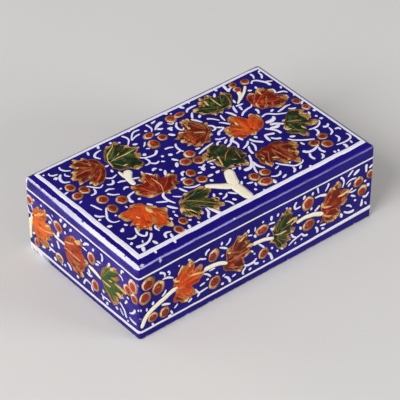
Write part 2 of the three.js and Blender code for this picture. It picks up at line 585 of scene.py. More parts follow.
def brushed(name, strokes, lay, film=0.16, lift=0.0, swell=COMMA):
    """One object with all the strokes of one paint on one face. A stroke that was given one width
    swells like a comma, with its head at either end."""
    bpy.ops.curve.primitive_bezier_curve_add()
    piece = bpy.context.object
    piece.name = piece.data.name = name
    curve = piece.data
    curve.splines.clear()
    curve.dimensions, curve.twist_mode = "3D", "Z_UP"
    curve.bevel_depth, curve.bevel_resolution, curve.use_fill_caps = 1.0, 1, True
    for i, (widths, points) in enumerate(strokes):
        if len(widths) == 1 and len(points) > 1:
            widths = [widths[0] * share for share in (swell if i % 2 else swell[::-1])]
        traced = trace(widths, points)
        spline = curve.splines.new("POLY")
        spline.points.add(len(traced) - 1)
        for point, (place, radius) in zip(spline.points, traced):
            point.co = (*place, 0, 1)
            point.radius = radius
    only(piece)
    bpy.ops.object.convert(target="MESH")
    piece = bpy.context.object
    laid_mesh(piece, lay, film, lift)
    bpy.ops.object.mode_set(mode="EDIT")
    bpy.ops.mesh.select_all(action="SELECT")
    bpy.ops.mesh.normals_make_consistent(inside=False)
    bpy.ops.object.mode_set(mode="OBJECT")
    bpy.ops.object.shade_smooth()
    return piece


def gathered(name, pieces, finish, body, slot):
    """Joins the pieces of one paint that ride together, and gives them their finish."""
    only(*pieces)
    if len(pieces) > 1:
        bpy.ops.object.join()
    whole = bpy.context.object
    whole.name = whole.data.name = name
    whole.data.materials.clear()
    whole.data.materials.append(finish.material)
    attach(whole, body)
    print(name, "has", len(whole.data.polygons), "faces")


# %% [markdown]
# ## White and cream paint
# The white is thick, so it stands up a little and holds its brush marks. It is not pure white:
# it is warmer where it was laid on thickly, and the blue under it shows a little where it is thin.
# The cream of the branches is the same paint with some yellow earth in it.


# %% The white and cream paints
def body_colour(name, thin, thick):
    finish = Finish(name, Specular_IOR_Level=0.2)
    place = finish.place()
    patches = finish.cloudy(place, 260.0, 3.0)
    bristles = finish.cloudy(finish.stretched(place, (900, 500, 900)), 1.0, 2.0)
    finish.paint(
        Base_Color=finish.mixed((patches * 0.8 + bristles * 0.6 - 0.2).held(), thin, thick),
        Roughness=0.3 + bristles * 0.2,
        Normal=finish.bumped(bristles + patches, 0.00006, 0.7),
    )
    return finish


white = body_colour("white_paint", colour(216, 212, 236), colour(245, 243, 240))
cream = body_colour("cream_paint", colour(234, 222, 192), colour(252, 247, 226))
print("white and cream are mixed")

# %% [markdown]
# ## The frame on the lid
# A white line frames the lid's flat top, just at the brink of the slope. It is broader at the left
# and in front than on the other two sides, and it wavers a little, because it is drawn by hand.
# It starts as a plane. An inset and a deleted middle leave four strips with mitred corners, cut
# across into short lengths and nudged. Solidify and Bevel then give the paint its body.

# %% The frame line
FRAME_CUTS = 59  # across each of the four strips
LONGEST_MITRE = 20  # only the strips' long edges are longer than this
FRAME_OUTER = {  # the line's outer corners, by the quarter that each is in
    (-1, 1): (-72.5, 42.0),
    (1, 1): (72.3, 41.6),
    (1, -1): (72.2, -42.6),
    (-1, -1): (-72.5, -42.1),
}
FRAME_INNER = {
    (-1, 1): (-70.7, 40.6),
    (1, 1): (71.0, 40.2),
    (1, -1): (70.8, -40.5),
    (-1, -1): (-69.9, -39.7),
}


def wavered(point, amount, spacing=9.0):
    """A point nudged as by an unsteady hand."""
    place = Vector((point.x / spacing, point.y / spacing, 3.7))
    return point + amount * Vector((noise.noise(place), noise.noise(place + Vector((7, 3, 1))), 0))


bpy.ops.mesh.primitive_plane_add(size=1)
lid_frame = bpy.context.object
bpy.ops.object.mode_set(mode="EDIT")
bpy.ops.mesh.inset(thickness=0.1)
bpy.ops.mesh.delete(type="FACE")
bpy.ops.object.mode_set(mode="OBJECT")
for vertex in lid_frame.data.vertices:
    edge = FRAME_OUTER if max(abs(vertex.co.x), abs(vertex.co.y)) > 0.45 else FRAME_INNER
    quarter = (-1 if vertex.co.x < 0 else 1, -1 if vertex.co.y < 0 else 1)
    vertex.co.xy = edge[quarter]
bpy.ops.object.mode_set(mode="EDIT")
bpy.ops.mesh.select_all(action="DESELECT")
bpy.ops.object.mode_set(mode="OBJECT")
for edge in lid_frame.data.edges:
    start, end = (lid_frame.data.vertices[i].co for i in edge.vertices)
    edge.select = (start - end).length > LONGEST_MITRE
bpy.ops.object.mode_set(mode="EDIT")
bpy.ops.mesh.select_mode(type="EDGE")
bpy.ops.mesh.subdivide(number_cuts=FRAME_CUTS)
bpy.ops.object.mode_set(mode="OBJECT")
for vertex in lid_frame.data.vertices:
    vertex.co = wavered(vertex.co, 0.25) + wavered(vertex.co, 0.16, 2.6) - vertex.co
solid = lid_frame.modifiers.new("thickness", "SOLIDIFY")
solid.thickness, solid.offset = 0.2, 0.5
bevel = lid_frame.modifiers.new("soft edge", "BEVEL")
bevel.width, bevel.segments, bevel.limit_method = 0.09, 2, "ANGLE"
for modifier in ("thickness", "soft edge"):
    bpy.ops.object.modifier_apply(modifier=modifier)
for vertex in lid_frame.data.vertices:
    vertex.co = on_top(vertex.co)
only(lid_frame)
bpy.ops.object.shade_smooth_by_angle(angle=math.radians(40))

# Drips and dabs where the brush overshot the line
overshoots = brushed(
    "overshoots",
    strokes_from(
        "1.4 -62.5 -41.6 -62.4 -43; 1.5 -50.6 -41.6 -50.5 -43; 1.6 -14.5 40.6 -14.4 39.9;"
        "2 9.2 40.6 9.3 39.4; 1.2 24.2 40.6 24.2 39.5; 1.7 42 40.6 42 38.8;"
        "1.3 -33 -39.6 -33 -38.2; 1.3 7.7 -40.4 7.7 -39.2; 1.6 37.8 -40.5 37.8 -39.3;"
        "1.1 -69.3 38.5; 1.3 71 10.7 70.2 10.7; 2.2>1.6 18.4 40.6 19.3 38;"
        "1.4 69.6 37.9 71 38.6"
    ),
    on_top,
)
gathered("lid_frame_line", [lid_frame, overshoots], white, "lid", "white_paint")

# %% [markdown]
# ## The lines round the box
# One white line runs round the lid just above the seam, and one round the body just above its
# foot. Each was drawn side by side, so each side has its own height and width, and they meet at
# the corners. They are strokes too, drawn to the corner's middle.


# %% The seam line and the foot line
STRETCHES = 6  # the short stretches that the hand wavers over, between two given heights


def line_on(side, heights, widths, drafted):
    """A stroke across a whole side, through these heights at even spaces."""
    half = SIDES[side][3]
    count = len(heights) - 1
    points = [(-half + 2 * half * i / count, height) for i, height in enumerate(heights)]
    wobbly = []
    for (u, v), (next_u, next_v) in zip(points, points[1:]):
        for part in range(STRETCHES):
            x = u + (next_u - u) * part / STRETCHES
            y = v + (next_v - v) * part / STRETCHES
            wobbly.append((x, y + 0.14 * noise.noise(Vector((x / 5, y, 2.0 + half)))))
    wobbly.append(points[-1])
    lay = LAYS[side if drafted else "lid_" + side]
    return brushed("line_" + side, [(widths, wobbly)], lay)


SEAM_LINE = {
    "front": ([39.1, 39.5, 39.5, 39.4, 39.15, 39.0, 38.9], [1.2, 1.05, 1.0, 1.0, 1.05]),
    "right": ([38.9, 39.3, 39.4, 39.4], [1.1, 1.1, 1.2]),
    "back": ([39.4, 39.5, 39.4, 39.5, 39.6], [1.2, 1.1, 1.2]),
    "left": ([39.7, 39.75, 39.7, 39.5, 39.3], [1.4, 1.3, 1.2]),
}
FOOT_LINE = {
    "front": ([5.0, 5.0, 5.1, 5.2, 5.5, 6.1, 6.9], [1.5, 1.3, 1.3, 1.5, 2.1, 2.6]),
    "right": ([6.9, 6.1, 5.5, 5.2], [2.5, 1.9, 1.6]),
    "back": ([5.2, 5.0, 4.8, 4.6], [1.6, 1.5, 1.7]),
    "left": ([4.3, 4.2, 4.05, 4.1, 4.4, 4.9], [1.9, 1.8, 1.8, 1.9, 2.3]),
}
seam_lines = [line_on(side, *shape, False) for side, shape in SEAM_LINE.items()]
foot_lines = [line_on(side, *shape, True) for side, shape in FOOT_LINE.items()]
gathered("lid_seam_line", seam_lines, white, "lid", "white_paint")
gathered("body_foot_line", foot_lines, white, "body", "white_paint")

# %% [markdown]
# ## The branches
# Cream branches carry the leaves. On the lid a stout trunk rises from the front line and forks
# like a Y. Along the sides a lighter branch runs from leaf to leaf. They are the widest strokes on
# the box, and their paint stands up a little more than the white does.

# %% The branches on the lid and round the body
BRANCHES = {
    "top": """
        5.2>6>6.2 -1.2 -39.6 -1.3 -33 -1.2 -27.5; 6.2>5.8>5.4 -0.8 -27 1.2 -22 3.9 -16.8;
        5.4>4.6>3.8>3.2 -2.6 -27.2 -6.4 -24.4 -9.6 -21.6 -12.6 -19.3;
        5>4.2>3.2>2.8 -35 14.6 -37 12 -38.4 9 -39 4.4; 1.8 -38.9 17 -39 11;
        1>2>2.6 43.3 23.4 46 25.2 48.6 27.8 50.2 31;
        1.1>1.5>1.5 46.5 25 50.7 27.9 53.3 30 55.9 32.6; 1.2 11 28 10.8 24.5 9.8 22.6""",
    "front": """
        2.8>3.1>3 -74.4 8 -73 10.7 -71.7 13 -69.3 15.2 -65 17.3 -60 19.1 -56 20.8 -52.5 21.6;
        3.2>2.8>2.2 -35 23.7 -29 23.3 -25 22.3 -21 20.2;
        2.6>2.4>2 -4 23.4 2 22.8 5.3 21.8 9 20.2;
        2.4>2.8>3 24.5 22.4 29.7 22.9 32.7 22.4 36 21.7 38.7 20.4 41.5 19.2""",
    "left": """
        3.2>4>4.2 -43.8 8.6 -43.9 12 -43.6 17 -42.6 20.8;
        3.2>1.8 -42.6 19 -41.6 22.4 -40.8 25.6; 2>1.7 -22 23.2 -18 22.8 -13.8 22.8;
        2.6 6.2 22 10.5 21.4 15.6 20; 2.2>2.8 -45.5 3 -42.6 3.2 -39.4 2.4""",
}
BRANCHES["right"], BRANCHES["back"] = BRANCHES["left"], BRANCHES["front"]
ROUND_THE_BODY = ("front", "right", "back", "left")
gathered(
    "lid_branches",
    [brushed("branches", strokes_from(BRANCHES["top"]), on_top, 0.2)],
    cream,
    "lid",
    "cream_paint",
)
gathered(
    "body_branches",
    [brushed("branches", strokes_from(BRANCHES[s]), LAYS[s], 0.19) for s in ROUND_THE_BODY],
    cream,
    "body",
    "cream_paint",
)

# %% [markdown]
# ## The scrolls
# White commas, hooks and dots fill every gap between the leaves. A few move the eye round a
# berry, the rest only keep the blue from looking empty. They are laid out here one by one, in the
# notation of the strokes, region by region.

# %% The scrolls on the lid
SCROLLS_TOP = """
1.1 -66.5 38 -67 36.8 -66 35.3 -63.6 34.7; 1.1 -59.5 38.8 -60 37 -59 34.7 -56.7 33;
1.4 -67.3 32.6 -65.4 33 -66.6 31.6; 1.4 -62.5 33.5 -64.3 31.7 -65.2 29.3 -64.7 27.3 -62.3 26;
1 -60.5 32.8 -61 31.3 -59.7 29.5; 1.2 -41.2 39.7 -42.3 37.2;
1.2 -35 36.8 -37.5 36.6 -39.5 35.8 -40.7 34 -39.5 31.2; 1.3 -69 24.5; 1 -70.3 19.6 -67.8 20.2;
1.2 -41.5 24.5 -39.5 24.5; 1.2 -40.8 20.8 -41.2 18.8;
1 -58 18 -56.5 16 -55 14 -53.2 12.9 -51 13.9; 1.1 -56.5 14.3 -57 12 -58.3 10.7 -60.7 10.7;
1 -46.8 17.5 -46 16.3 -44 15.2 -41 16; 1.3 -49.5 12.5 -47.3 11.3 -45.7 12.3 -45.3 13.7;
1.1 -53.3 8.8 -51 9.2 -48.7 7.7; 1.2 -44.5 10.5 -42.3 10.2 -40.5 9;
1.4>0.8 -53.7 6.7 -52 4.3 -49.3 2.7; 1.2 -45.5 4.3 -43.7 5.2 -42.5 4.3;
1.1 -65.2 5 -64.5 2.7 -64 0.3 -63.3 -1.5; 1 -68.5 9.4 -66.8 10.2; 1.4 -35.2 38.5 -34 40.7;
1.4 -28.3 37.8 -27.3 38.8; 1.2 -24 35.8; 1.3>0.7 -19.8 39.2 -18.8 36.7 -19.2 34.3 -21.8 31.5;
1.2>0.8 -9.8 38 -12.7 38.3 -15.3 36.8 -18 33.5; 1.2>0.7 -11.8 35 -14.7 34.7 -18 33.3;
1.5 -7.8 35; 1.4>0.7 -4.5 39 -4.2 37 -4.3 34.7 -5.7 32.7; 1.2 -1.7 38.2 1.2 38.8;
2.4>1.8>0.7 3 35.8 0 35 -2.2 33.8 -3.6 32.7; 1.6 -2.3 32.6 -0.8 31.5 0.3 31.2;
1.6 -19.8 30.2 -17.7 29.3; 0.9 -13.8 28 -15.3 26.3 -16.7 25.3; 1 -16.7 23.3 -15 22.3;
1.2 -6.2 29.2 -3.3 29.3; 1.8 -0.5 25.5 1.5 23; 2 -20.3 20;
1>1.5 -23.7 19.5 -22 18 -19.3 17 -16 16.8 -13.5 18.8;
1 -22 17.5 -21.6 15.3 -22 13.5 -23.5 12.7 -25.5 12.8;
1.2 -22.3 13.3 -21.7 12 -20 10.7 -18 11.2; 1.2 -17.3 10.3 -15.8 9.2;
1.4>1 -9.5 17 -7.3 16.7 -5.5 15.7; 1.2 -2.7 17 -3.7 15.7 -4.3 13.3 -4.3 11.3 -7.3 10.5;
1 -4.3 11 -3.5 9.7; 1.6 -14.2 13.2; 2.2 -10.3 11.7; 1.5 -12 8.5 -10.2 5.5; 1.8 -14 1.8 -12 4.5;
1.4 -25.2 7 -23.7 8 -22.7 7.2; 1.5 -21.7 5.2; 1.5 -22.5 0.2 -20.3 3.5; 1.7 -17.8 0.5;
1.2 -37 8.3 -35.3 7.7 -33.7 7; 1 -29.3 7.7 -27.3 4.7; 1 -30.2 9.7; 1.2 10.8 38.6 11.6 38.2;
1.8 2 29.3 4.5 28.8; 1.6 3.2 29 2.7 27; 1.2 8.8 30.7 6.7 28.3 6.3 25.3 7.7 23.8 8.7 25;
1 4.7 33 6 31.2 7.7 31.7; 1.3 18.3 34.3 20 35.8 22.7 36.2 25.7 36;
1.2 20.2 32.3 18.3 30 17.3 28.3; 1.3 16.2 28 17.7 25.7 19 22.7; 1.5 20.3 26.5 22 28.2;
1.4>0.8 22.8 23.3 25 21.3 26.8 18.3; 1.2 25.5 17 27.3 15 29 12.3; 1 30 21.3 29.3 19 29 16.3;
1.5 33.7 21.5 35 19.3 36 15.8; 1.3 19.5 18.5 21 17 21.2 15 20.3 13.8 18.5 13.7;
1.2 21.3 15 24.7 12.3; 1.8>1 18.8 9 20.3 10.7 22.3 11.2 24.7 12;
1.4>0.9 15.3 7.3 16.7 6 20 5.2; 1.2 1.3 3.2 5.7 4.5 9 5.2 12.3 5.7;
1.5>0.8 13 3 14.3 4.3 16.3 4.5; 1.2 16.7 1.5 19.7 3.7; 1.6 19.3 0 21.3 1.7 23.3 3;
1.2 2.2 7.2 4.7 6.7; 1.3 25 1 25.5 -2; 1.3 37.5 35.3 39.5 37.7;
2>1.2 47.5 40 47 37.8 46.3 34.5; 1.3 46.3 34.3 48 36 49.7 36.3; 1.2 43.5 27.3 42.7 24.7;
1.6 54.7 28.7 56.3 27.7; 1.4 59.8 29 59.3 27.3;
1>1.8 60 32.3 61.7 33.7 63.7 33 65.3 30.7 66.8 28 67 25.3; 1 66.8 29.3 70 27.3;
1.5>0.9 65 39 65 37 64 35; 1.1 69.2 37.7 69 35 67.3 32.5; 1.1 70.3 21 69.2 19.3;
1.2 65.3 22 65.2 20 64.3 18; 1.2 65 17.8 67 17.3 68.7 16.5 69.5 14.7;
1.3 40.2 23.3 39 21.3 38 17.7; 1.3 41.2 22.2 45.3 21.7; 1.6>1 42.3 20.7 41.5 17.7;
1.2 38.3 14 40.7 15.7 44 16.7 47 17 48.3 18.3; 1.8>1 47.3 13.7 47.3 12 46.2 10;
1.2 45.5 6.7 48.3 7.3 50.3 6.3 52.3 4.3 54.7 2.7 57.7 1.3; 1.4 52 7.3 54 8;
1.2 54.7 4.8 58 5.3 60.7 6 63.7 5.7; 1.2 60.7 3.7 62 2.3 64 1.7;
2.4 44 1.6 47 1.2 49.5 2 50 3.3; 1.2 68.3 2.3 70.7 4; 1.4 -68.5 -2.7 -67.7 -4.7 -65.3 -6.3;
1.6 -68.8 -7; 1.1 -60.8 -1.7 -62.3 -3.7 -64 -6.3 -65.2 -8.3 -65.5 -11 -64.3 -13 -61.7 -13.7;
1.2 -60.7 -9.2; 1.8 -69 -13.6 -67 -14.3; 1.4 -61.7 -17.2 -61 -18.7;
2.4>1 -65.8 -20.8 -64 -19.2; 1.2 -67.2 -26.5 -65.7 -28 -63.7 -28.2 -62.3 -27.3;
1.4 -68.5 -31.5 -67.2 -30.3; 1.3 -59.3 -22.7 -60.7 -26.7 -60.3 -29.3 -58.7 -30.5 -56.8 -28.7;
2.4>1.3>1.3 -67.4 -34.7 -64.3 -35.2 -61 -35 -57.7 -33 -55.8 -30.7; 0.9 -62.3 -32.3 -63.2 -33.7;
1.8 -65 -36 -66.8 -39.3; 1.6 -58.7 -35.8 -58.2 -38.7;
1.4 -52.2 -38 -51.3 -35.7 -49.7 -35 -47.7 -35.8; 1.4 -48.7 -37 -49.8 -39.7;
1.1 -50.7 -27.3 -51.7 -29 -51.5 -31.7; 1 -52.8 -6.5 -52.7 -8; 1.6 -44 -6.3;
1>2 -42.5 -0.3 -45.3 -0.8 -47 -1.5 -48.3 -4.3 -48 -6.3; 1.3 -43.5 -11.7 -42 -14.3;
1.2 -39.3 -13.7 -36.2 -15.7 -34.3 -16.7; 1.6 -37 -19.3 -35.7 -21.7 -34.2 -24;
1.6 -37.7 -24.8 -36.9 -24.8; 1.1 -38.2 -26.7 -38 -29; 1.3 -41.6 -27.3 -41.4 -29;
1.5 -38 -37.3 -39 -39.7; 1.3 -42 -38.3 -41.5 -40;
1.4 -31.5 -9.7 -33.3 -11.5 -34 -14 -33.7 -16.7 -32.5 -20;
0.9 -30.2 -15.2 -28.3 -17 -26.7 -18.2; 1.3 -23.8 -12.2 -23.2 -14.7 -22.3 -16.8;
1.1 -21.3 -12.8 -19.7 -14.7 -17.3 -16 -14 -16.3; 1.4 -13.5 -3.2 -15.3 -3.7 -16.2 -5.7;
1.3 -19 -8.3 -18.3 -7.5 -16.3 -7.7; 1.5 -9 -8.8 -7 -9.3; 1.2 -5.8 -5 -4.3 -6.3 -2 -5.3;
2.2 -4.3 -6.5 -5.4 -8.8; 1.6 -7 -14 -4 -14; 1.8 -1.9 -14.3 0.3 -13.8; 1.7 -1.3 -9.2 0.5 -10.3;
1.8 -7.8 -16.7 -7.2 -18.3; 1.2 -13.3 -26.2 -14.7 -28.3; 1.5 -11.3 -28 -10.3 -29;
1.1 -8.3 -30 -9.7 -31.5 -12.5 -32.3; 1.3 -7.3 -30 -5.7 -32 -4.5 -33.5;
1.1 -12.8 -34.3 -11.3 -36.3 -11 -39; 1.6 -8.8 -35.3 -7.8 -37;
1.3 -23.5 -32.3 -24.3 -35.7 -26.5 -38.3 -27 -39.5;
1.5>2.5 -22.3 -32.7 -21.8 -35.3 -20.7 -38.7 -20.5 -40; 1.4 -35.7 -34.3 -34.5 -35;
1.2 0 -5 4.7 -5.5; 1 0.5 -6.3 1.3 -8; 1.2 15.7 -1.7 19.7 0; 1.8>0.9 21 1 21.3 -3 19.7 -5.5;
1.2 27 -4.3 24.7 -6.3 21 -7.7; 1.1 27.3 -6.3 27 -9.7 25 -13;
1>1.6 24.3 -8 22.8 -10.7 22.2 -13.7; 1.3>1.6 28.5 -3.7 29.3 -6.3 32.3 -9.7;
2.6 31.5 -4.3 32.6 -4.3; 1.5 36.5 -6 36 -8.7 35.7 -11.3;
1.2>1.4>2.8 19.8 -13.7 18 -17.3 16 -20 14 -21.7 10.5 -21.7;
1.1 16.7 -20.7 14.7 -24.3 13.8 -27.3; 1.5 17.7 -19 17.7 -23 19.3 -26.3; 1.2 8.8 -19.7 10.2 -18;
1.2 6 -17 8 -17.3; 1.2 6 -26.8 7.3 -25.8; 1.2 2 -29.3 3.5 -27.3; 1.2 4.3 -30.5 7.3 -31.5;
1.1 8 -32.5 6.8 -34.7; 1.5 4.7 -36.7; 2 16.2 -36.3 15.7 -39.3;
1.2 17.3 -33.7 19.3 -35 21.7 -35 23.7 -33.3; 0.9 22.7 -30.5 25.7 -29.5; 1.2 21 -38.3 24 -37.2;
1.2 28.2 -38.3 30 -37 30.5 -35; 1.1 32.3 -38 34.7 -36.3;
1.2 26 -27 27.3 -29.3 29.7 -32.3 32 -34.7 36 -35 38.3 -33.7; 1 31.2 -31.5 32.3 -30.6;
2>1.5 44.7 -1 47.3 -2 50.3 -4.7; 2.2 42.7 -3.3 46 -4.3 48 -3.5;
1.2>1.6 40.3 -2 42.3 -4.3 44 -7 44.3 -9.7; 1.2>1.8 36.5 -6 38.7 -6.7 41.3 -7.8;
1.1>1.6 37.7 -9.7 39 -11.7 41.3 -13; 1.2 43.7 -15.7 45 -18 48 -20.7 51 -22.7 54 -24.3;
1.6 45.7 -15 48 -16.3; 1.2 46.5 -22 47 -24.5;
1.1 57 -16.7 59.7 -17.3 62.3 -17.2 65 -15.7 66.2 -13.7;
1.2 59.5 -18 59.8 -20 58.7 -22 56.7 -22.7; 1.8>1.2 64.2 -19.5 66 -20.3 67.8 -19;
1.1 66 -21.7 65.7 -24 64.7 -25.7 62.7 -26.7; 1.3 67.5 -24.7 69.3 -24.8 69.7 -26.7;
1.2 64.2 -28.7 64.5 -30.7 63.7 -32.3 62 -33.3;
1.1 69.5 -31 69.8 -33.3 68.7 -35 66 -35.8 62.7 -35.7 59.3 -35;
1.6 62.3 -36.7 62.8 -38.3 62 -40; 1.1 66.5 -38.7 67 -36.8; 1.2 66.8 -5 66 -7;
1.8 69.3 -5.7 71 -6.2; 1.4 67.5 -10.3; 1.8 68.2 -13.3;
2.2>1.2 43 -28.3 44 -30 46.3 -30.8 49 -30.5 52 -29.3; 1.2>1.6 44.3 -31.7 43 -34 43.2 -36.7;
1.1>1.5 51 -31 50.3 -33.3 51 -35.7; 1.2 48.7 -35.7 48.3 -37.7 46.2 -38.8;
1.4 55 -38 54.8 -39.4; 1.2 57.4 -38.6 56.6 -39.8
"""
lid_scrolls = strokes_from(SCROLLS_TOP)
print(len(lid_scrolls), "scrolls on the lid")
scrolls = brushed("scrolls", lid_scrolls, on_top, 0.15)
gathered("lid_scrolls", [scrolls], white, "lid", "white_paint")

# %% The scrolls round the body
SCROLLS_FRONT = """
1 -32.3 21.3 -28.7 21.3; 1.5>1 -62.7 36.7 -60.7 35.5 -59.7 34.2 -59.8 32.7;
1.4>1 -57.8 35 -56.8 33.7 -57 32.3; 1.2 -61 31.8 -58 31.2 -54.7 29.3; 1 -51 34.8;
1.6 -44.8 35.7 -44.8 34.8; 1.1 -41.3 31.8 -38 32 -36.7 31.3 -34.3 30.3;
1.2 -59.2 24 -60 22.3 -61.7 21.2; 1.6 -67 20.7 -67.3 19; 1 -71 18.7 -71 16.7;
1.8 -75 19 -74.4 19; 1.5 -61.7 15.7 -59 14.7 -56.8 13.7; 1.1 -52 11 -54 9.3;
1.4 -43.2 9.7 -45.3 8.2; 1.2 -41 14.3 -39.3 11.3 -37.7 10.7 -33.3 11.2;
1.4 -38.3 10.3 -39.7 8.7; 1.1 -68 7.3 -67 5.8; 2 -57 5.9; 1.2 -56.3 9 -55.3 6.3;
1.4 -32.2 35.2 -34 34.2 -34.5 32.5; 1.4 -24.3 35.5 -24.5 33.8;
1.5>0.9 -19 35 -19.8 33.2 -21.7 32.2; 1.2 -25.7 32.8 -23.3 31.3 -21 29.7;
2>1.2 -7.7 34.2 -7.3 32.5; 0.9 -7.7 30.8 -5 29.7; 1.4 -3.7 29 -2.5 27; 0.9 -3.1 33.7 -3.3 31.3;
1.2 -24.7 26.5 -23 26.7; 1.1 -35.7 21.2 -33.3 19.7 -31.3 17.3; 1.3 -34 16.7 -32.5 16.3;
1.2 -27.8 18 -26.8 16.8; 1.2 -38 14.8 -35 15.3; 1.2 -23.7 13 -22.3 13.7;
1.2>1.8 -22.3 12 -20.3 10.3 -18.8 7; 1.2 -17.5 9.5 -15.3 10; 1.8 -23.8 8.3;
1.6 -9.8 13 -8.3 11.7 -4.3 11.5 -2 13; 1.4 -9 11 -10.7 9 -10.3 7; 1.3 -3.7 11.5 -2.3 9.7 -1 9;
1.6 -6.8 8.3 -5.2 8.3; 1.1 -5.7 20 -4.2 18.3; 1.2 -3.3 16.7; 1.1 -0.7 21.7 1.7 19 3 17.3;
1.4 6 25 4.5 23.5; 1.4 1.3 34.5 2.3 34.5; 1.7 7.3 35.3 7.3 32.7; 1.5 11.8 34.8 11.3 33.2;
1.2 17.2 35.3; 1.5>1.1 23.5 35.7 22.5 34.3 22.3 33.3 23.3 31.7 26.3 31.7; 1.8 29 37 28.3 35.2;
1.5 34.3 36.7 34.2 35; 1.2 5.7 31 7.7 30.7 9.5 30.2; 1.5 7 27.7 8.7 26; 1.2 25 26.8 26.3 26;
1.3 31.2 25.3; 1.6 33.7 26.5; 1.4 26.3 18.5 27.3 16.5; 1.4 7.8 14.9 8.6 13.7;
1.2 11.4 11.3 12.2 10; 1.2 14 11.3 15.5 9.8; 1.2>1.8 5.2 12.7 7 11 7.8 9 8.5 7;
1.4 -2 10 -0.5 9; 1.2 19.3 10 21.7 11.5 25 12.5 28 13.3; 1.2 20.7 16.7 22 14.3 24 13;
1.2>1.6 28 13 29.3 11.3 31.7 10.5; 1.2 3 8.3; 1.3 23.7 9.3; 1.2 27.8 9.7;
1.3>0.8 37.3 38 37.8 36 38.2 34.3; 1.5>0.9 44.8 37 44.3 35.3 42.8 33.2;
1>2 36 32.3 39.3 32 41.3 31.3 43.3 30.5; 1.5>0.9 53 36.7 54.7 34.7 55.3 32.3 54.3 29.7;
1.3 61.3 37.3 59.7 36.2 58 34.7; 2 62 34 65.5 35.7; 2>1.2 70.3 36.3 70.3 34.3 70.5 31.7;
1.6 72.5 33.3 74 34 75.3 33.8; 1 57 30.3 58.7 31.5 61 31.7 63.7 31.2; 1.4 58.2 28.3 60 29.8;
1.5 36 23.7 38 24.7 39.2 25.7; 1.2 60 25 61.5 25.6; 1 59.3 24 61.3 23.3 64 23.5; 1.6 70 26;
2 71.7 23.3 72.7 21.7; 1.2 60.7 21.3 62 20.3 63.7 19.2; 1.3 63 17 64.3 16.2;
1.2 57.7 16 59.7 15.2 61.5 13.3; 1>2 56.3 12.7 58.7 11 61.3 10.2 63 10.3;
1>2.2 68.5 14.7 68.5 12.7 68.2 10.8; 1.1 70.7 12 71.7 10; 1.5 69 16.3 71 15.5 73 17.2;
1.8 54 12.7 55 10; 1.2>1.8 37 12.7 38.2 11 38.5 8.7; 1.2 40.3 12 44 11.2; 1.4 41.3 9.7 43 8.8;
1.5 38.7 15.5
"""
SCROLLS_LEFT = """
1.5 -33 35.5 -31.9 36.1; 2 -23 35.3 -22.9 35.5; 1.6 -38.8 35.5;
1.3 -28.3 32.5 -26.5 33.2 -24.5 32.6 -23.3 31.5; 1.8 -26.6 28.6 -24.6 30.2;
1.6 -19.5 26.3 -17.8 27.8; 2 -20 23.6 -18.5 26.3; 1.4>2 -20.3 20.8 -19.5 19 -18.9 17;
2.1 -25.7 14.4 -24.4 15.6; 1.5 -27.5 12 -25 11.8 -22.5 11.8; 0.9 -28 9.5 -26 12; 2.3 -22.8 7.5;
1.4 -34 8.3 -31.3 9.3; 1.5 -41.5 12.4 -39.8 13.5; 1.3 -17.5 8 -16.5 7.5;
1.6 -45.5 25 -42.2 24.8; 1.3 -45.6 30.6 -45.2 28 -43.6 25.9;
1.1 -43.6 30.2 -41.2 30.4 -40.4 28; 2 -16.5 35.8 -15.2 37.8; 1.8 -13.5 34.3 -11.5 37.3;
1.6 -8.8 34.7 -7 36.6; 1.6 0.7 34.8; 1.6 2.3 33 4.5 35 7 36.2; 1.6 10 34.2 10.9 35.8;
1.8 -13.5 31 -12.2 30.8; 1.1 1.5 31 5 31; 2 5.5 19.5 6.5 17.2; 1.6 4.2 16.4 6.6 16 8.5 16.8;
1.7 -12.5 11.8 -10.5 10.8 -9.3 9; 1.9 -4.8 8 -3.1 8.3; 1.8 -14.5 8.7;
1.6>1 1 7.3 2 9.5 3 11 5 11 7.3 10.6; 1.4 7.5 10.3 7.8 8.5 8.8 7.3; 1.3 11.8 26.8 14.5 28.3;
1.2 13 29.7 16 30.1; 1.5 16.5 36.3 17.5 36.3 17.8 34 17 32; 1.8 22.5 33.2 23.7 34.9;
1.5 34.8 37.2 33.3 36.5 32.7 34.5; 1.1 31 33.2 33 32.3 34 31; 1.8>1 36.5 19.6 34.8 17;
1.8>0.9 42.8 18 41.7 15.8 39.8 14 38.3 13.3;
1.2>1.8 30.5 14.8 32.5 13.5 34 12 34.8 10 35.6 8.5; 1.4 38 10.3 40 9.3 43.3 9.1;
1.9 27.2 9.5 28.8 9.1; 1.5 37.3 22.3; 1 30.7 11 32 9 33.3 8.3;
1 15.3 10.3 17 9.5 20 9.7 22.5 9.4; 1.7 16.7 9 17 7.3; 2 20 6.9; 1.8 17.3 13; 1.2 45.5 19;
1.3 36.6 6.9
"""
SCROLLS = {
    "front": SCROLLS_FRONT,
    "right": SCROLLS_LEFT,
    "back": SCROLLS_FRONT,
    "left": SCROLLS_LEFT,
}
body_scrolls = [
    brushed("scrolls", strokes_from(SCROLLS[side]), LAYS[side], 0.15) for side in ROUND_THE_BODY
]
gathered("body_scrolls", body_scrolls, white, "body", "white_paint")

# %% [markdown]
# ## The leaves
# A plane-tree leaf fans out from the end of its stalk into toothed lobes. No two on the top, the
# front and the left end are alike: each was drawn afresh and turned to fill its own gap. The back
# and the right end repeat them in other colours. One blank is modelled, a circle extruded inwards
# ring by ring and closed below. Each leaf is a copy of it whose rim is pulled out to that leaf's
# own outline, with small teeth between the big ones, and whose middle is domed.

# %% The blank of rings
RIM_POINTS = 192
BLANK_DEPTH = 0.1
LEAF_RINGS = (1.0, 0.97, 0.9, 0.78, 0.64, 0.5, 0.34, 0.17)


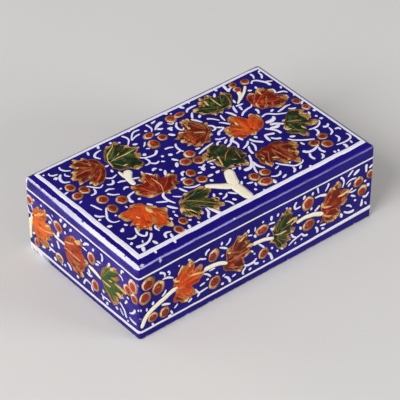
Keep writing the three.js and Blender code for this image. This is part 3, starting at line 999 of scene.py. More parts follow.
def ringed_blank(name, points, rings):
    """A disc of rings about the origin, with a closed underside. The rings are shares of 1."""
    bpy.ops.mesh.primitive_circle_add(vertices=points, radius=1, fill_type="NOTHING")
    blank = bpy.context.object
    blank.name = blank.data.name = name
    bpy.ops.object.mode_set(mode="EDIT")
    bpy.ops.mesh.select_all(action="SELECT")
    for wider, narrower in zip(rings, rings[1:]):
        bpy.ops.mesh.extrude_region()
        share = narrower / wider
        bpy.ops.transform.resize(value=(share, share, 1), center_override=(0, 0, 0))
    bpy.ops.mesh.edge_face_add()
    bpy.ops.mesh.poke()
    bpy.ops.mesh.select_all(action="DESELECT")
    bpy.ops.mesh.select_mode(type="EDGE")
    bpy.ops.mesh.select_non_manifold()
    bpy.ops.mesh.extrude_region()
    bpy.ops.transform.translate(value=(0, 0, -BLANK_DEPTH))
    bpy.ops.mesh.edge_face_add()
    bpy.ops.mesh.select_all(action="SELECT")
    bpy.ops.mesh.normals_make_consistent(inside=False)
    bpy.ops.object.mode_set(mode="OBJECT")
    return blank


def is_under(vertex):
    """Whether a blank's point is one of its closed underside."""
    return vertex.co.z < -BLANK_DEPTH / 2


def copied(blank, marks):
    """A copy with its own mesh, and a float attribute on its points for each name in marks."""
    only(blank)
    bpy.ops.object.duplicate()
    piece = bpy.context.object
    for mark in marks:
        piece.data.attributes.new(mark, "FLOAT", "POINT")
    return piece


leaf_blank = ringed_blank("leaf_blank", RIM_POINTS, LEAF_RINGS)
print("leaf blank:", len(leaf_blank.data.polygons), "faces")


# %% The outline of a leaf
def outline_from(text):
    """The points round a leaf and, of those, the tips. A star marks a tip."""
    points, tips = [], []
    words = text.split()
    for x, y in zip(words[::2], words[1::2]):
        points.append(Vector((float(x), float(y.rstrip("*")))))
        if y.endswith("*"):
            tips.append(points[-1])
    return points, tips


def cross(a, b):
    return a.x * b.y - a.y * b.x


def evenly_round(points, count):
    """Places at even steps along a smooth closed curve, against the clock."""
    path = smooth_path(points, closed=True)
    if sum(cross(here, there) for here, there in zip(path, path[1:] + path[:1])) < 0:
        path.reverse()
    path.append(path[0])
    reach = reaches(path)
    places, i = [], 0
    for step in range(count):
        distance = reach[-1] * step / count
        while reach[i + 1] < distance:
            i += 1
        places.append(between(path, reach, i, distance))
    return places


def toothed(outline, root, seed):
    """The same outline with small uneven teeth along it."""
    teeth = []
    for i, point in enumerate(outline):
        bite = abs(math.sin(i * math.pi / 6 + 1.4 * math.sin(i * 0.13 + seed)))
        teeth.append(point + (point - root).normalized() * (0.5 * (1 - bite) - 0.15))
    return teeth


def heart_of(outline, root):
    """A place between the root and the middle that sees the whole rim, so that no ring folds."""
    middle = sum(outline, Vector((0, 0))) / len(outline)

    def folds(place):
        pairs = zip(outline, outline[1:] + outline[:1])
        hidden = sum(cross(here - place, there - place) <= 0 for here, there in pairs)
        return hidden, (place - middle).length

    return min((root.lerp(middle, share / 10) for share in range(1, 13)), key=folds)


def angle_between(a, b):
    return abs((a - b + math.pi) % (2 * math.pi) - math.pi)


def lobe_lengths(outline, root, steps=90):
    """How far the leaf goes out from its root in each direction, with its teeth smoothed over."""
    arms = [(math.atan2(arm.y, arm.x), arm.length) for arm in (point - root for point in outline)]
    lengths = []
    for step in range(steps):
        turn = 2 * math.pi * step / steps
        near = [(angle_between(angle, turn), length) for angle, length in arms]
        lengths.append(max([1.5] + [far * (1 - 4 * away**2) for away, far in near if away < 0.3]))
    return lengths


# %% Pull a copy of the blank out to a leaf
LEAF_MARKS = ("fan", "reach", "rim", "lobe", "gild", "seed")
LOBE_SPREAD = 0.2  # the angle over which a lobe's middle line fades
GILD_RADIUS = 2.7  # how far the gold reaches from a tip


def leaf_from_blank(outline, tips, root, lay, seed, thickness=0.17):
    """The marks say where on its leaf each point is: how far round and out from the root, how
    near the rim, a lobe's middle line and a tip. The leaf paints follow them."""
    heart, lengths = heart_of(outline, root), lobe_lengths(outline, root)
    turns = [math.atan2(tip.y - root.y, tip.x - root.x) for tip in tips]
    leaf = copied(leaf_blank, LEAF_MARKS)
    marks = {name: leaf.data.attributes[name].data for name in LEAF_MARKS}
    for i, vertex in enumerate(leaf.data.vertices):
        ring = vertex.co.xy.length
        place = round(math.atan2(vertex.co.y, vertex.co.x) / (2 * math.pi) * RIM_POINTS)
        at = heart + (outline[place % RIM_POINTS] - heart) * ring
        arm = at - root
        turn = math.atan2(arm.y, arm.x)
        length = lengths[round(turn / (2 * math.pi) * len(lengths)) % len(lengths)]
        values = {
            "fan": turn,
            "reach": min(arm.length / length, 1.2),
            "rim": ring,
            "lobe": max(0, 1 - min(angle_between(turn, each) for each in turns) / LOBE_SPREAD),
            "gild": max(math.exp(-(((at - tip).length / GILD_RADIUS) ** 2)) for tip in tips),
            "seed": seed,
        }
        for name, value in values.items():
            marks[name][i].value = value
        domed = thickness * (1 - ring**5) * (0.7 + 0.3 * values["lobe"]) + 0.01
        vertex.co = lay((at.x, at.y, -SINK if is_under(vertex) else domed))
    only(leaf)
    bpy.ops.object.shade_smooth()
    return leaf


print("leaves can be pulled from the blank")

# %% [markdown]
# ## Leaf paints
# A leaf is glazed in one colour, wet in wet, so that it streaks from the root outwards. The glaze
# is darkest between the lobes and gives way to tan and gold at the tips, where pale gold patches
# are painted highlights. A broken border of the same gold follows the rim, and a thin dark line
# outside it sets the leaf off from the blue. The leaves of the left end are lighter, with softer
# darks: light painted on, as from a lamp on that side.


# %% Mix the leaf paints
UMBER, TAN_LOW, TAN_HIGH = colour(44, 16, 6), colour(126, 72, 26), colour(224, 164, 92)
# the colour of the painted highlights on the leaves
HIGHLIGHT_GOLD = colour(252, 220, 150)


def leaf_paint(name, deep, middle, bright, accent, dark=UMBER, tan_low=TAN_LOW):
    finish = Finish(name, Specular_IOR_Level=0.1)
    fan, reach, rim, lobe, gild, seed = (finish.mark(mark) for mark in LEAF_MARKS)
    place = finish.place()
    broad = finish.cloudy(finish.joined(fan * 8, reach * 1.6, seed), 1.0, 2.0, 0.6)
    fine = finish.cloudy(finish.joined(fan * 24, reach * 2.4, seed + 7), 1.0, 2.0, 0.6)
    patches = finish.cloudy(place, 210.0, 2.0)
    dapple = finish.cloudy(place, 700.0, 2.0)
    streaks = broad * 0.6 + fine * 0.4

    # the glaze, its wet patches, and the dark between two lobes
    glaze = finish.mixed(streaks.rise(0.42, 0.58), deep, middle)
    # painted light: leaves of the left end get more bright glaze and weaker darks between lobes and
    # at the rim, as if lit from that side
    left = (finish.parts(place)[0] / -MM).rise(75, 75.6)
    wet = (streaks * 0.7 + patches * 0.5).rise(0.6, 0.72) * 0.85
    glaze = finish.mixed(wet.most(left * 0.7), glaze, bright)
    glaze = finish.mixed((fine * 0.5 - patches + 0.8).rise(0.62, 0.8) * 0.8, glaze, accent)
    shadow = ((1 - lobe) * 0.4 + broad + fine * 0.6).rise(1.06, 1.3) * reach.rise(0.2, 0.5)
    glaze = finish.mixed(shadow * (0.8 - left * 0.3), glaze, dark)

    # tan at the tips and, broken, along the rim, with a dark edge where it meets the glaze
    tan = finish.mixed((fine * 1.8 + dapple * 1.2 - 1).held(), tan_low, TAN_HIGH)
    edge = reach.rise(0.62, 1.05) * 0.55 + (streaks - 0.5) * 2.4 + (dapple - 0.5) * 0.6
    tip = gild * 1.15 + edge
    glaze = finish.mixed(tip.rise(0.3, 0.5) * (1 - tip.rise(0.55, 0.7)) * 0.65, glaze, dark)
    tipped = tip.rise(0.5, 0.78)
    hair = (1 - abs(fine - 0.52) * 11).held() * reach.rise(0.15, 0.4) * (patches * 2 - 0.7).held()
    ragged = rim + (streaks - 0.5) * 0.16 + (dapple - 0.5) * 0.06
    border = ragged.rise(0.87, 0.93) * (patches * 1.4 + lobe * 0.4 - 0.2).held()
    glaze = finish.mixed((tipped * 0.92).most(hair * 0.3).most(border * 0.85), glaze, tan)
    # painted highlight: pale gold near the tips and in patches, where raised gold would catch the
    # light
    painted_shine = (gild * 1.1 + (patches + fine * 1.5 - 1.25) * 1.6).rise(0.72, 0.98)
    glaze = finish.mixed(painted_shine * 0.85, glaze, HIGHLIGHT_GOLD)
    line = (rim + (dapple - 0.5) * 0.03).rise(0.962, 0.985)
    rimmed = finish.mixed(line * (0.85 - left * 0.3), glaze, dark)
    finish.paint(
        Base_Color=rimmed,
        Metallic=(tipped * 0.12 + painted_shine * 0.15).held(),
        Roughness=0.25 + patches * 0.16,
        Normal=finish.bumped(streaks + dapple * 0.3, 0.00012, 0.6),
    )
    return finish


LEAF_PAINTS = {
    "orange": leaf_paint(
        "orange_leaf", colour(190, 52, 6), colour(228, 80, 8), colour(246, 116, 28),
        colour(206, 50, 24),
    ),
    "red": leaf_paint(
        "red_leaf", colour(98, 8, 2), colour(154, 20, 6), colour(198, 58, 20), colour(136, 8, 16),
        colour(58, 8, 4),
    ),
    "maroon": leaf_paint(
        "maroon_leaf", colour(82, 10, 4), colour(122, 26, 10), colour(168, 64, 30),
        colour(108, 10, 8), colour(52, 8, 4),
    ),
    "green": leaf_paint(
        "green_leaf", colour(4, 28, 12), colour(10, 56, 24), colour(52, 102, 38), colour(8, 60, 42),
        colour(14, 24, 10), colour(104, 84, 34),
    ),
}
print("leaf paints:", sorted(LEAF_PAINTS))

# %% [markdown]
# ## Where the leaves grow
# On the lid eleven leaves turn round the trunk and the twigs, with one orange flower-like leaf as
# the centre of the right half. Round the body four leaves follow each other on a long side and
# three on a short one, in changing colours. Each line gives a leaf's paint, its root and its
# outline, with a star at each pale tip.

# %% The leaves' roots and outlines
LEAVES = {
    "top": [
        ("maroon", (-42.5, 25.5), """-51 39.8* -49.3 38.3 -48 36.8 -46.8 38* -45.3 36.3
            -44.8 34.5 -43 34 -41.5 32 -41.3 27.5 -41.2 25.5 -42.3 23.5 -43.3 21 -45.2 18.8
            -46.5 17 -48.2 16 -50.5 14.6 -53 15 -55 15.3* -54.8 17.2 -55.8 18.5* -53.8 20.5
            -52.8 22 -54.5 22.3 -57.2 21 -60 20.6* -59.8 22 -58.7 24.3 -60.8 25.5 -60.5 27.6*
            -59 28.6 -57.8 30.5 -57.5 31.6* -55.3 31.9 -54.3 32.2 -54.6 33.5 -55.5 35.6*
            -54.2 37 -52.8 36.5 -52 38"""),
        ("green", (-38, 26), """-39.2 27.8 -38.4 29.8 -36.6 32.6 -35 34.8 -32.6 36.8 -31 37.8*
            -28.8 36.8 -26.2 38.5* -24.6 36.8 -24.9 34.6 -23.6 32.6 -22 31.6* -21.6 29.4
            -18.3 26.8* -20.8 24.9 -22.4 23.8 -21.2 22* -22.6 19.8 -25 18 -24.2 15.8 -26 13.2
            -30 12.3* -32.2 14.8 -34.2 16.4 -37.4 17 -38.8 19.8 -39.6 21.4 -38 24.4"""),
        ("red", (-33, -9.5), """-42.6 2.4 -41.2 4.2* -39.6 2.8 -38.2 3.6 -36.8 1.6 -35.4 1.6
            -34.8 3.4 -35.8 5.2* -34 6.4 -32.6 6.2 -31.6 8.4 -30.2 9.6* -28.8 7.2 -27.8 4.8
            -25.2 3.8* -25.4 1.6 -26.2 0 -24 -0.4 -22.4 -0.8 -20.6 0.4* -18.8 -1.6 -18 -3.6
            -19.6 -5.4 -20.6 -6.8 -20 -8.6 -21.6 -9.2 -23.4 -8.6 -24.4 -11.8* -26.4 -10.8
            -28 -10.6 -29.6 -13* -31.2 -10.8 -33.2 -10.2 -35.8 -9.6 -38.8 -9.8* -41 -7.2
            -42.4 -4.6 -43.2 -2.4* -42 -0.2"""),
        ("orange", (-47, -12), """-52.4 -8.6 -50.4 -7.4* -47.8 -8.2 -45.6 -9.6 -44.4 -12.4
            -43 -14.4 -41.2 -15.6* -41.2 -18 -39.2 -18.8 -37.8 -20.8* -39.4 -23 -41 -25.4
            -42.2 -28.8 -42.4 -31* -44.4 -33.8* -46.2 -31.8 -47.6 -30.2 -50.8 -31* -50 -28.6
            -50 -26.8 -52 -26.6 -54.2 -29.3* -55.8 -27 -57.2 -25.6 -60.2 -26.2* -59.6 -23.6
            -58 -21.2 -60.4 -20* -58.2 -18.4 -56.2 -17.6 -60 -16.2* -60.3 -13 -61 -11* -58 -9.2
            -54.6 -9.6"""),
        ("green", (-30.5, -21.2), """-30 -19.9* -31.6 -21.5 -32.2 -24 -34.2 -25.6* -35.4 -28.5
            -35 -31.5 -33 -33.8* -31.8 -33.6 -31.6 -37.4* -29.6 -36 -28.9 -32.8 -27.6 -35.8*
            -25.8 -33 -24.9 -29.8 -23 -29.2 -21.4 -31.6 -20.6 -36.5 -18.8 -37.8* -17.6 -36.2
            -14.6 -37* -13.8 -34.8 -14.8 -32.8 -13.1 -30.8* -14.6 -28.6 -17.4 -27.6 -16.2 -25.6
            -12.8 -23.6 -11 -21.6* -12.4 -19.8 -14.8 -17.4* -19 -17.4 -22.4 -17.2 -24.4 -16.6*
            -26 -18.2 -27 -20.2"""),
        ("maroon", (17, 14.6), """14.2 30.4 10.6 30.2* 9.2 27.8 8.7 25.6 7.8 22.4 6.2 21.6
            4.8 23.8* 3.2 22.6 0.8 20.6 -1.4 20.5* 0.8 18.4 0.4 16.8 -0.1 15.4* 2 14 0.9 11.6*
            3 10.8 3.6 8.4 6.8 7* 8.6 8.3 11.4 6.9 13.4 8.4 14.4 10.3 17 11.2* 16 13.4
            19.4 14.6 19.4 17 18.6 18 20.9 20.6* 18.6 21.8 16.4 23.4 15.8 25.8 14.6 27.4
            15.4 29.2*"""),
        ("green", (4.8, -14.4), """1 -15.6 1.8 -13.8 3 -12.2 1.9 -9.6* 3 -7 4.8 -5.6 2 -4.8
            -0.1 -2.4* 1 0.6 2.2 1.6* 5.4 2.4 7 4.2 11 5.1 12.6 3.4 14 1.6 15.2 2.2 16.2 -1.6
            19.3 -3.8 18.2 -6 19.7 -8 19.2 -9.8 19.9 -11.4 18.6 -13.8 16.4 -14 16.2 -17.6
            15 -19.8* 13 -19.2 12.4 -16.4 10.9 -18.4* 10.4 -16 9.4 -14.6 7.4 -16.4* 5.4 -15.4"""),
        ("green", (35, 25), """21.4 33.6* 20.6 31.4 22.6 30 23 27.4* 25.4 26.2 27 24.6
            28.4 22.4* 30 24.4 31.8 21.8* 33.6 23.6 34.8 24.6 36.4 22.8 38.8 23* 40.4 24.8
            42.8 26.6 44.8 29.6 46 32.4 44.6 34.4 43 36.8* 41.2 35.2 38 34.6 36.6 37.4
            35.4 39.4* 33.4 38.8 32 37.6 30.4 40* 29 37.4 27.2 36.8* 26.6 34.4 24.6 33.6 23 34"""),
        ("red", (49.5, 17.5), """48.4 20 49 23.5 51.8 26.2 54.2 26.3* 55.4 24.6 57.6 26.2*
            59.8 27.2* 62.2 25.8 62.6 23.6 65.2 22.4* 65.4 19.6 63.4 17.4 66.4 15 68 12* 66 9.6
            62.8 8.2 60.4 7 57.4 7.2* 55.6 9 52.8 10.8 50 11.2 49 14 48 17"""),
        ("green", (51.8, -4.4), """51.4 -3.4 54 -1.8 56.4 0.8 59 2.4 61.6 1.6 63.6 0.4 66 -1.2
            64.4 -4* 66.2 -6.6 65 -9.2* 62.4 -10 65.8 -12.4 65 -14.8 61.8 -15.4* 58.6 -14
            56.4 -13.2 55.6 -17 55 -19.4 53.2 -20.8* 51.2 -18.6 50.4 -15.8 47.8 -14 46.6 -11.2
            49 -10 47.6 -7.6* 49.8 -5.6"""),
        ("maroon", (31.5, -14.5), """23 -14.6 26 -14 28.4 -12.9 31.4 -13.6 34.4 -12.9 38 -13.6
            40.4 -15.4 41 -17.2 43.4 -17.6 45.3 -20.6* 44 -23.8 41.6 -25 41 -28* 38.8 -29.2
            38 -32.4 36 -34.8* 34 -32.4 32.6 -29.6 30.8 -31.6* 28.8 -30 28 -26.4 26.4 -24.6
            24.6 -27.2 22.6 -28.2* 21.4 -25.4 19.9 -22.6 21 -19 21.4 -16.4"""),
        ("orange", (34, 1), """32.6 17.6* 30.2 16.4 29 13.8 29.6 11.4 27 11.4 24 11.2* 22.4 8.6
            21.8 5.6* 22 3 24 1.8 25.2 -0.6 27.6 -1.6 30.4 -1 33 -2.8* 36.4 -1.4 39.8 -0.6
            42.4 1.4 44.2 4.4 45.4 8.6* 43.4 12 41.2 12.6* 39.6 9.2 38 11.6 36.6 14.6 34.8 16.2"""),
    ],
    "front": [
        ("orange", (-53, 21.5), """-54.8 28* -53.6 25.6 -55.2 23.4 -54 21 -53.4 18 -54.8 15.4
            -54.6 13 -51.6 12 -49 9.8 -46 9.2* -43.4 11 -40.2 10.9* -40.4 13.2 -42.4 16.4
            -42.8 18 -39.4 17.8 -37 20 -34 23* -37 24.4 -36.2 26.6 -37.4 28.9* -40.4 28
            -42.2 27 -41.2 30 -42 33.4 -44.2 34.8* -46.6 32.8 -49.2 34* -51.2 31.6 -52.2 28.6"""),
        ("maroon", (-21, 20.5), """-21.2 29.2* -21.6 26.4 -21 24 -22 21.4 -23.6 18.6 -22.2 15.8
            -18.8 14 -15.6 12 -12.4 10.2* -10.4 12.4 -9.4 14.6 -11 17 -8 18.2* -5.4 19.6
            -6.4 21.6 -3.8 23.6* -6.6 25.4 -6.2 27.2 -8.6 28.8 -7.8 31.6 -9.2 34* -11.6 33
            -14 34.4* -16 31.8 -18.2 29.8"""),
        ("green", (9.5, 20.8), """7.4 26.4* 8.4 24 9.2 21.6 6.4 19.2* 8.6 17.2 10.2 15.6
            11.2 13 13.6 10.8 16.2 9.8* 18.2 11 17.6 13.4 20.4 13* 20 15.4 18 17.4 22.4 17.6*
            23.2 20 20.6 21 21.2 22.8 24.6 24.4* 24 26.6 20.4 27.6 21.4 30.4 20.2 32.4
            20.4 34.4* 17.6 35 15.6 33.4 14.2 34* 14.4 31.4 11.4 30.4 9.8 28.6"""),
        ("red", (41, 20.5), """39.8 25.4* 42.2 27.6 42 29.4 44.2 31.2 45.8 33.2* 48.2 33.8
            50.6 35.6* 52.8 34 53.6 31 53 28.6 56.6 27.8 60.2 24.8* 57.6 22 58.2 19.8
            55.6 17.8* 52.6 18.8 53.8 14.6 52.6 12.2 50.2 10.8* 47.6 10.4 44.8 11.2* 42.6 13.4
            40 13.8 41.4 16.8 39.8 18.8 40.2 22"""),
    ],
    "left": [
        ("orange", (-41.5, 20.5), """-40.8 27 -40 29 -38 31 -35.6 33.4* -33.6 32.6 -31.6 33.8
            -29.2 35.2* -27.6 32.4 -28.4 29.4 -30 26.6 -27.6 27.4 -25.6 27.4* -24.6 25
            -21.8 24.4* -24.2 21.4 -26.8 19.6 -25 18.2* -28 16.8 -28.8 14.8 -27 13* -28.8 11
            -31.8 9.2* -35.6 10.6 -38 12.4 -41.4 14.6 -40.9 18 -42.2 21 -41.2 24.4"""),
        ("red", (-14, 20.8), """-14 23.8 -13.2 26.6 -12 29.2 -9.2 31.4 -6.2 33.2* -3.6 32.4
            -0.6 34* 1.6 32.4 0.8 29.6 0.2 27.4 2 25.4 5.6 23.4* 4.4 20.6 2.6 18.6 2.2 16
            0.4 14.4 1.4 11.6* -1.4 9.6 -4.4 10.4 -6.8 10.2* -9 12.2 -12.2 14.4 -13 17
            -14.4 19.6"""),
        ("green", (15.8, 20.6), """15.8 24 16.6 27 18.4 29.4 20.4 31 22 33.6* 24.8 33.4
            27.6 35* 30.6 33.6 30.6 31 29 28.6 28.6 26.6 31.4 26 34 26 36.6 24* 33.4 21.8
            34 19.6* 31.8 17.8* 29 16.6 30 14* 28.2 11.6 25.4 9.8* 22.8 12.2 20 13.2 16.8 13.8
            18 16.6 16.6 19 15.6 21.4"""),
    ],
}
TURNED_COLOURS = {"orange": "green", "maroon": "orange", "green": "red", "red": "maroon"}
LEAVES["back"] = [(TURNED_COLOURS[paint], root, text) for paint, root, text in LEAVES["front"]]
LEAVES["right"] = [(TURNED_COLOURS[paint], root, text) for paint, root, text in LEAVES["left"]]

chance = random.Random(5)
grown, ribs = {}, {"lid": [], "body": []}
for face, leaves in LEAVES.items():
    body = body_of(face)
    rib_strokes = []
    for paint, root, text in leaves:
        root = Vector(root)
        points, tips = outline_from(text)
        seed = chance.uniform(0, 40)
        outline = toothed(evenly_round(points, RIM_POINTS), root, seed)
        leaf = leaf_from_blank(outline, tips, root, LAYS[face], seed)
        grown.setdefault((body, paint), []).append(leaf)
        for tip in tips:
            across = Vector((root.y - tip.y, tip.x - root.x)) * chance.uniform(-0.07, 0.07)
            points = [root.lerp(tip, 0.16), root.lerp(tip, 0.55) + across, root.lerp(tip, 0.9)]
            rib_strokes.append(([0.45, 0.4, 0.2], [tuple(point) for point in points]))
    ribs[body].append(brushed("ribs_" + face, rib_strokes, LAYS[face], 0.05, 0.15))
for (body, paint), leaves in sorted(grown.items()):
    gathered(f"{body}_leaves_{paint}", leaves, LEAF_PAINTS[paint], body, paint + "_paint")
bpy.data.objects.remove(leaf_blank)

# %% [markdown]
# ## Touches
# When the glaze is dry the painter goes over each leaf with a finer brush: pale gold where a lobe
# catches the light, tan and rose along the ribs, and umber where two lobes overlap. Many of the
# pale gold dabs and some rose ones are painted highlights, set where the light would catch a lobe.
# The gold is powdered metal in gum, so it is partly metal and a little rough. Each touch swells and
# thins like the brush that made it.


# %% The touch paints
def touch_paint(name, low, high, metal=0.0):
    finish = Finish(name, Specular_IOR_Level=0.15)
    place = finish.place()
    grains = finish.cloudy(place, 1400.0, 2.0, 0.7)
    patches = finish.cloudy(place, 300.0, 2.0)
    finish.paint(
        Base_Color=finish.mixed((grains * 0.8 + patches * 1.2 - 0.5).held(), low, high),
        Metallic=(patches * metal).held(),
        Roughness=0.27 + grains * 0.2,
        Normal=finish.bumped(grains, 0.00005, 0.6),
    )
    return finish


TOUCH_PAINTS = {
    # the gold and rose touches are partly paint and partly painted highlights
    "gold": touch_paint("gold_and_highlight_touch", colour(198, 142, 72), colour(252, 220, 156), 0.35),
    "tan": touch_paint("tan_touch", colour(124, 80, 36), colour(196, 142, 82), 0.3),
    "rose": touch_paint("rose_and_highlight_touch", colour(148, 58, 34), colour(206, 124, 88)),
    "umber": touch_paint("umber_touch", colour(46, 20, 14), colour(92, 46, 22)),
    "ember": touch_paint("ember_touch", colour(170, 40, 16), colour(222, 84, 32)),
    "teal": touch_paint("teal_touch", colour(22, 66, 44), colour(50, 98, 78)),
}
for body, strokes in ribs.items():
    gathered(body + "_leaf_ribs", strokes, TOUCH_PAINTS["tan"], body, "gold_paint")

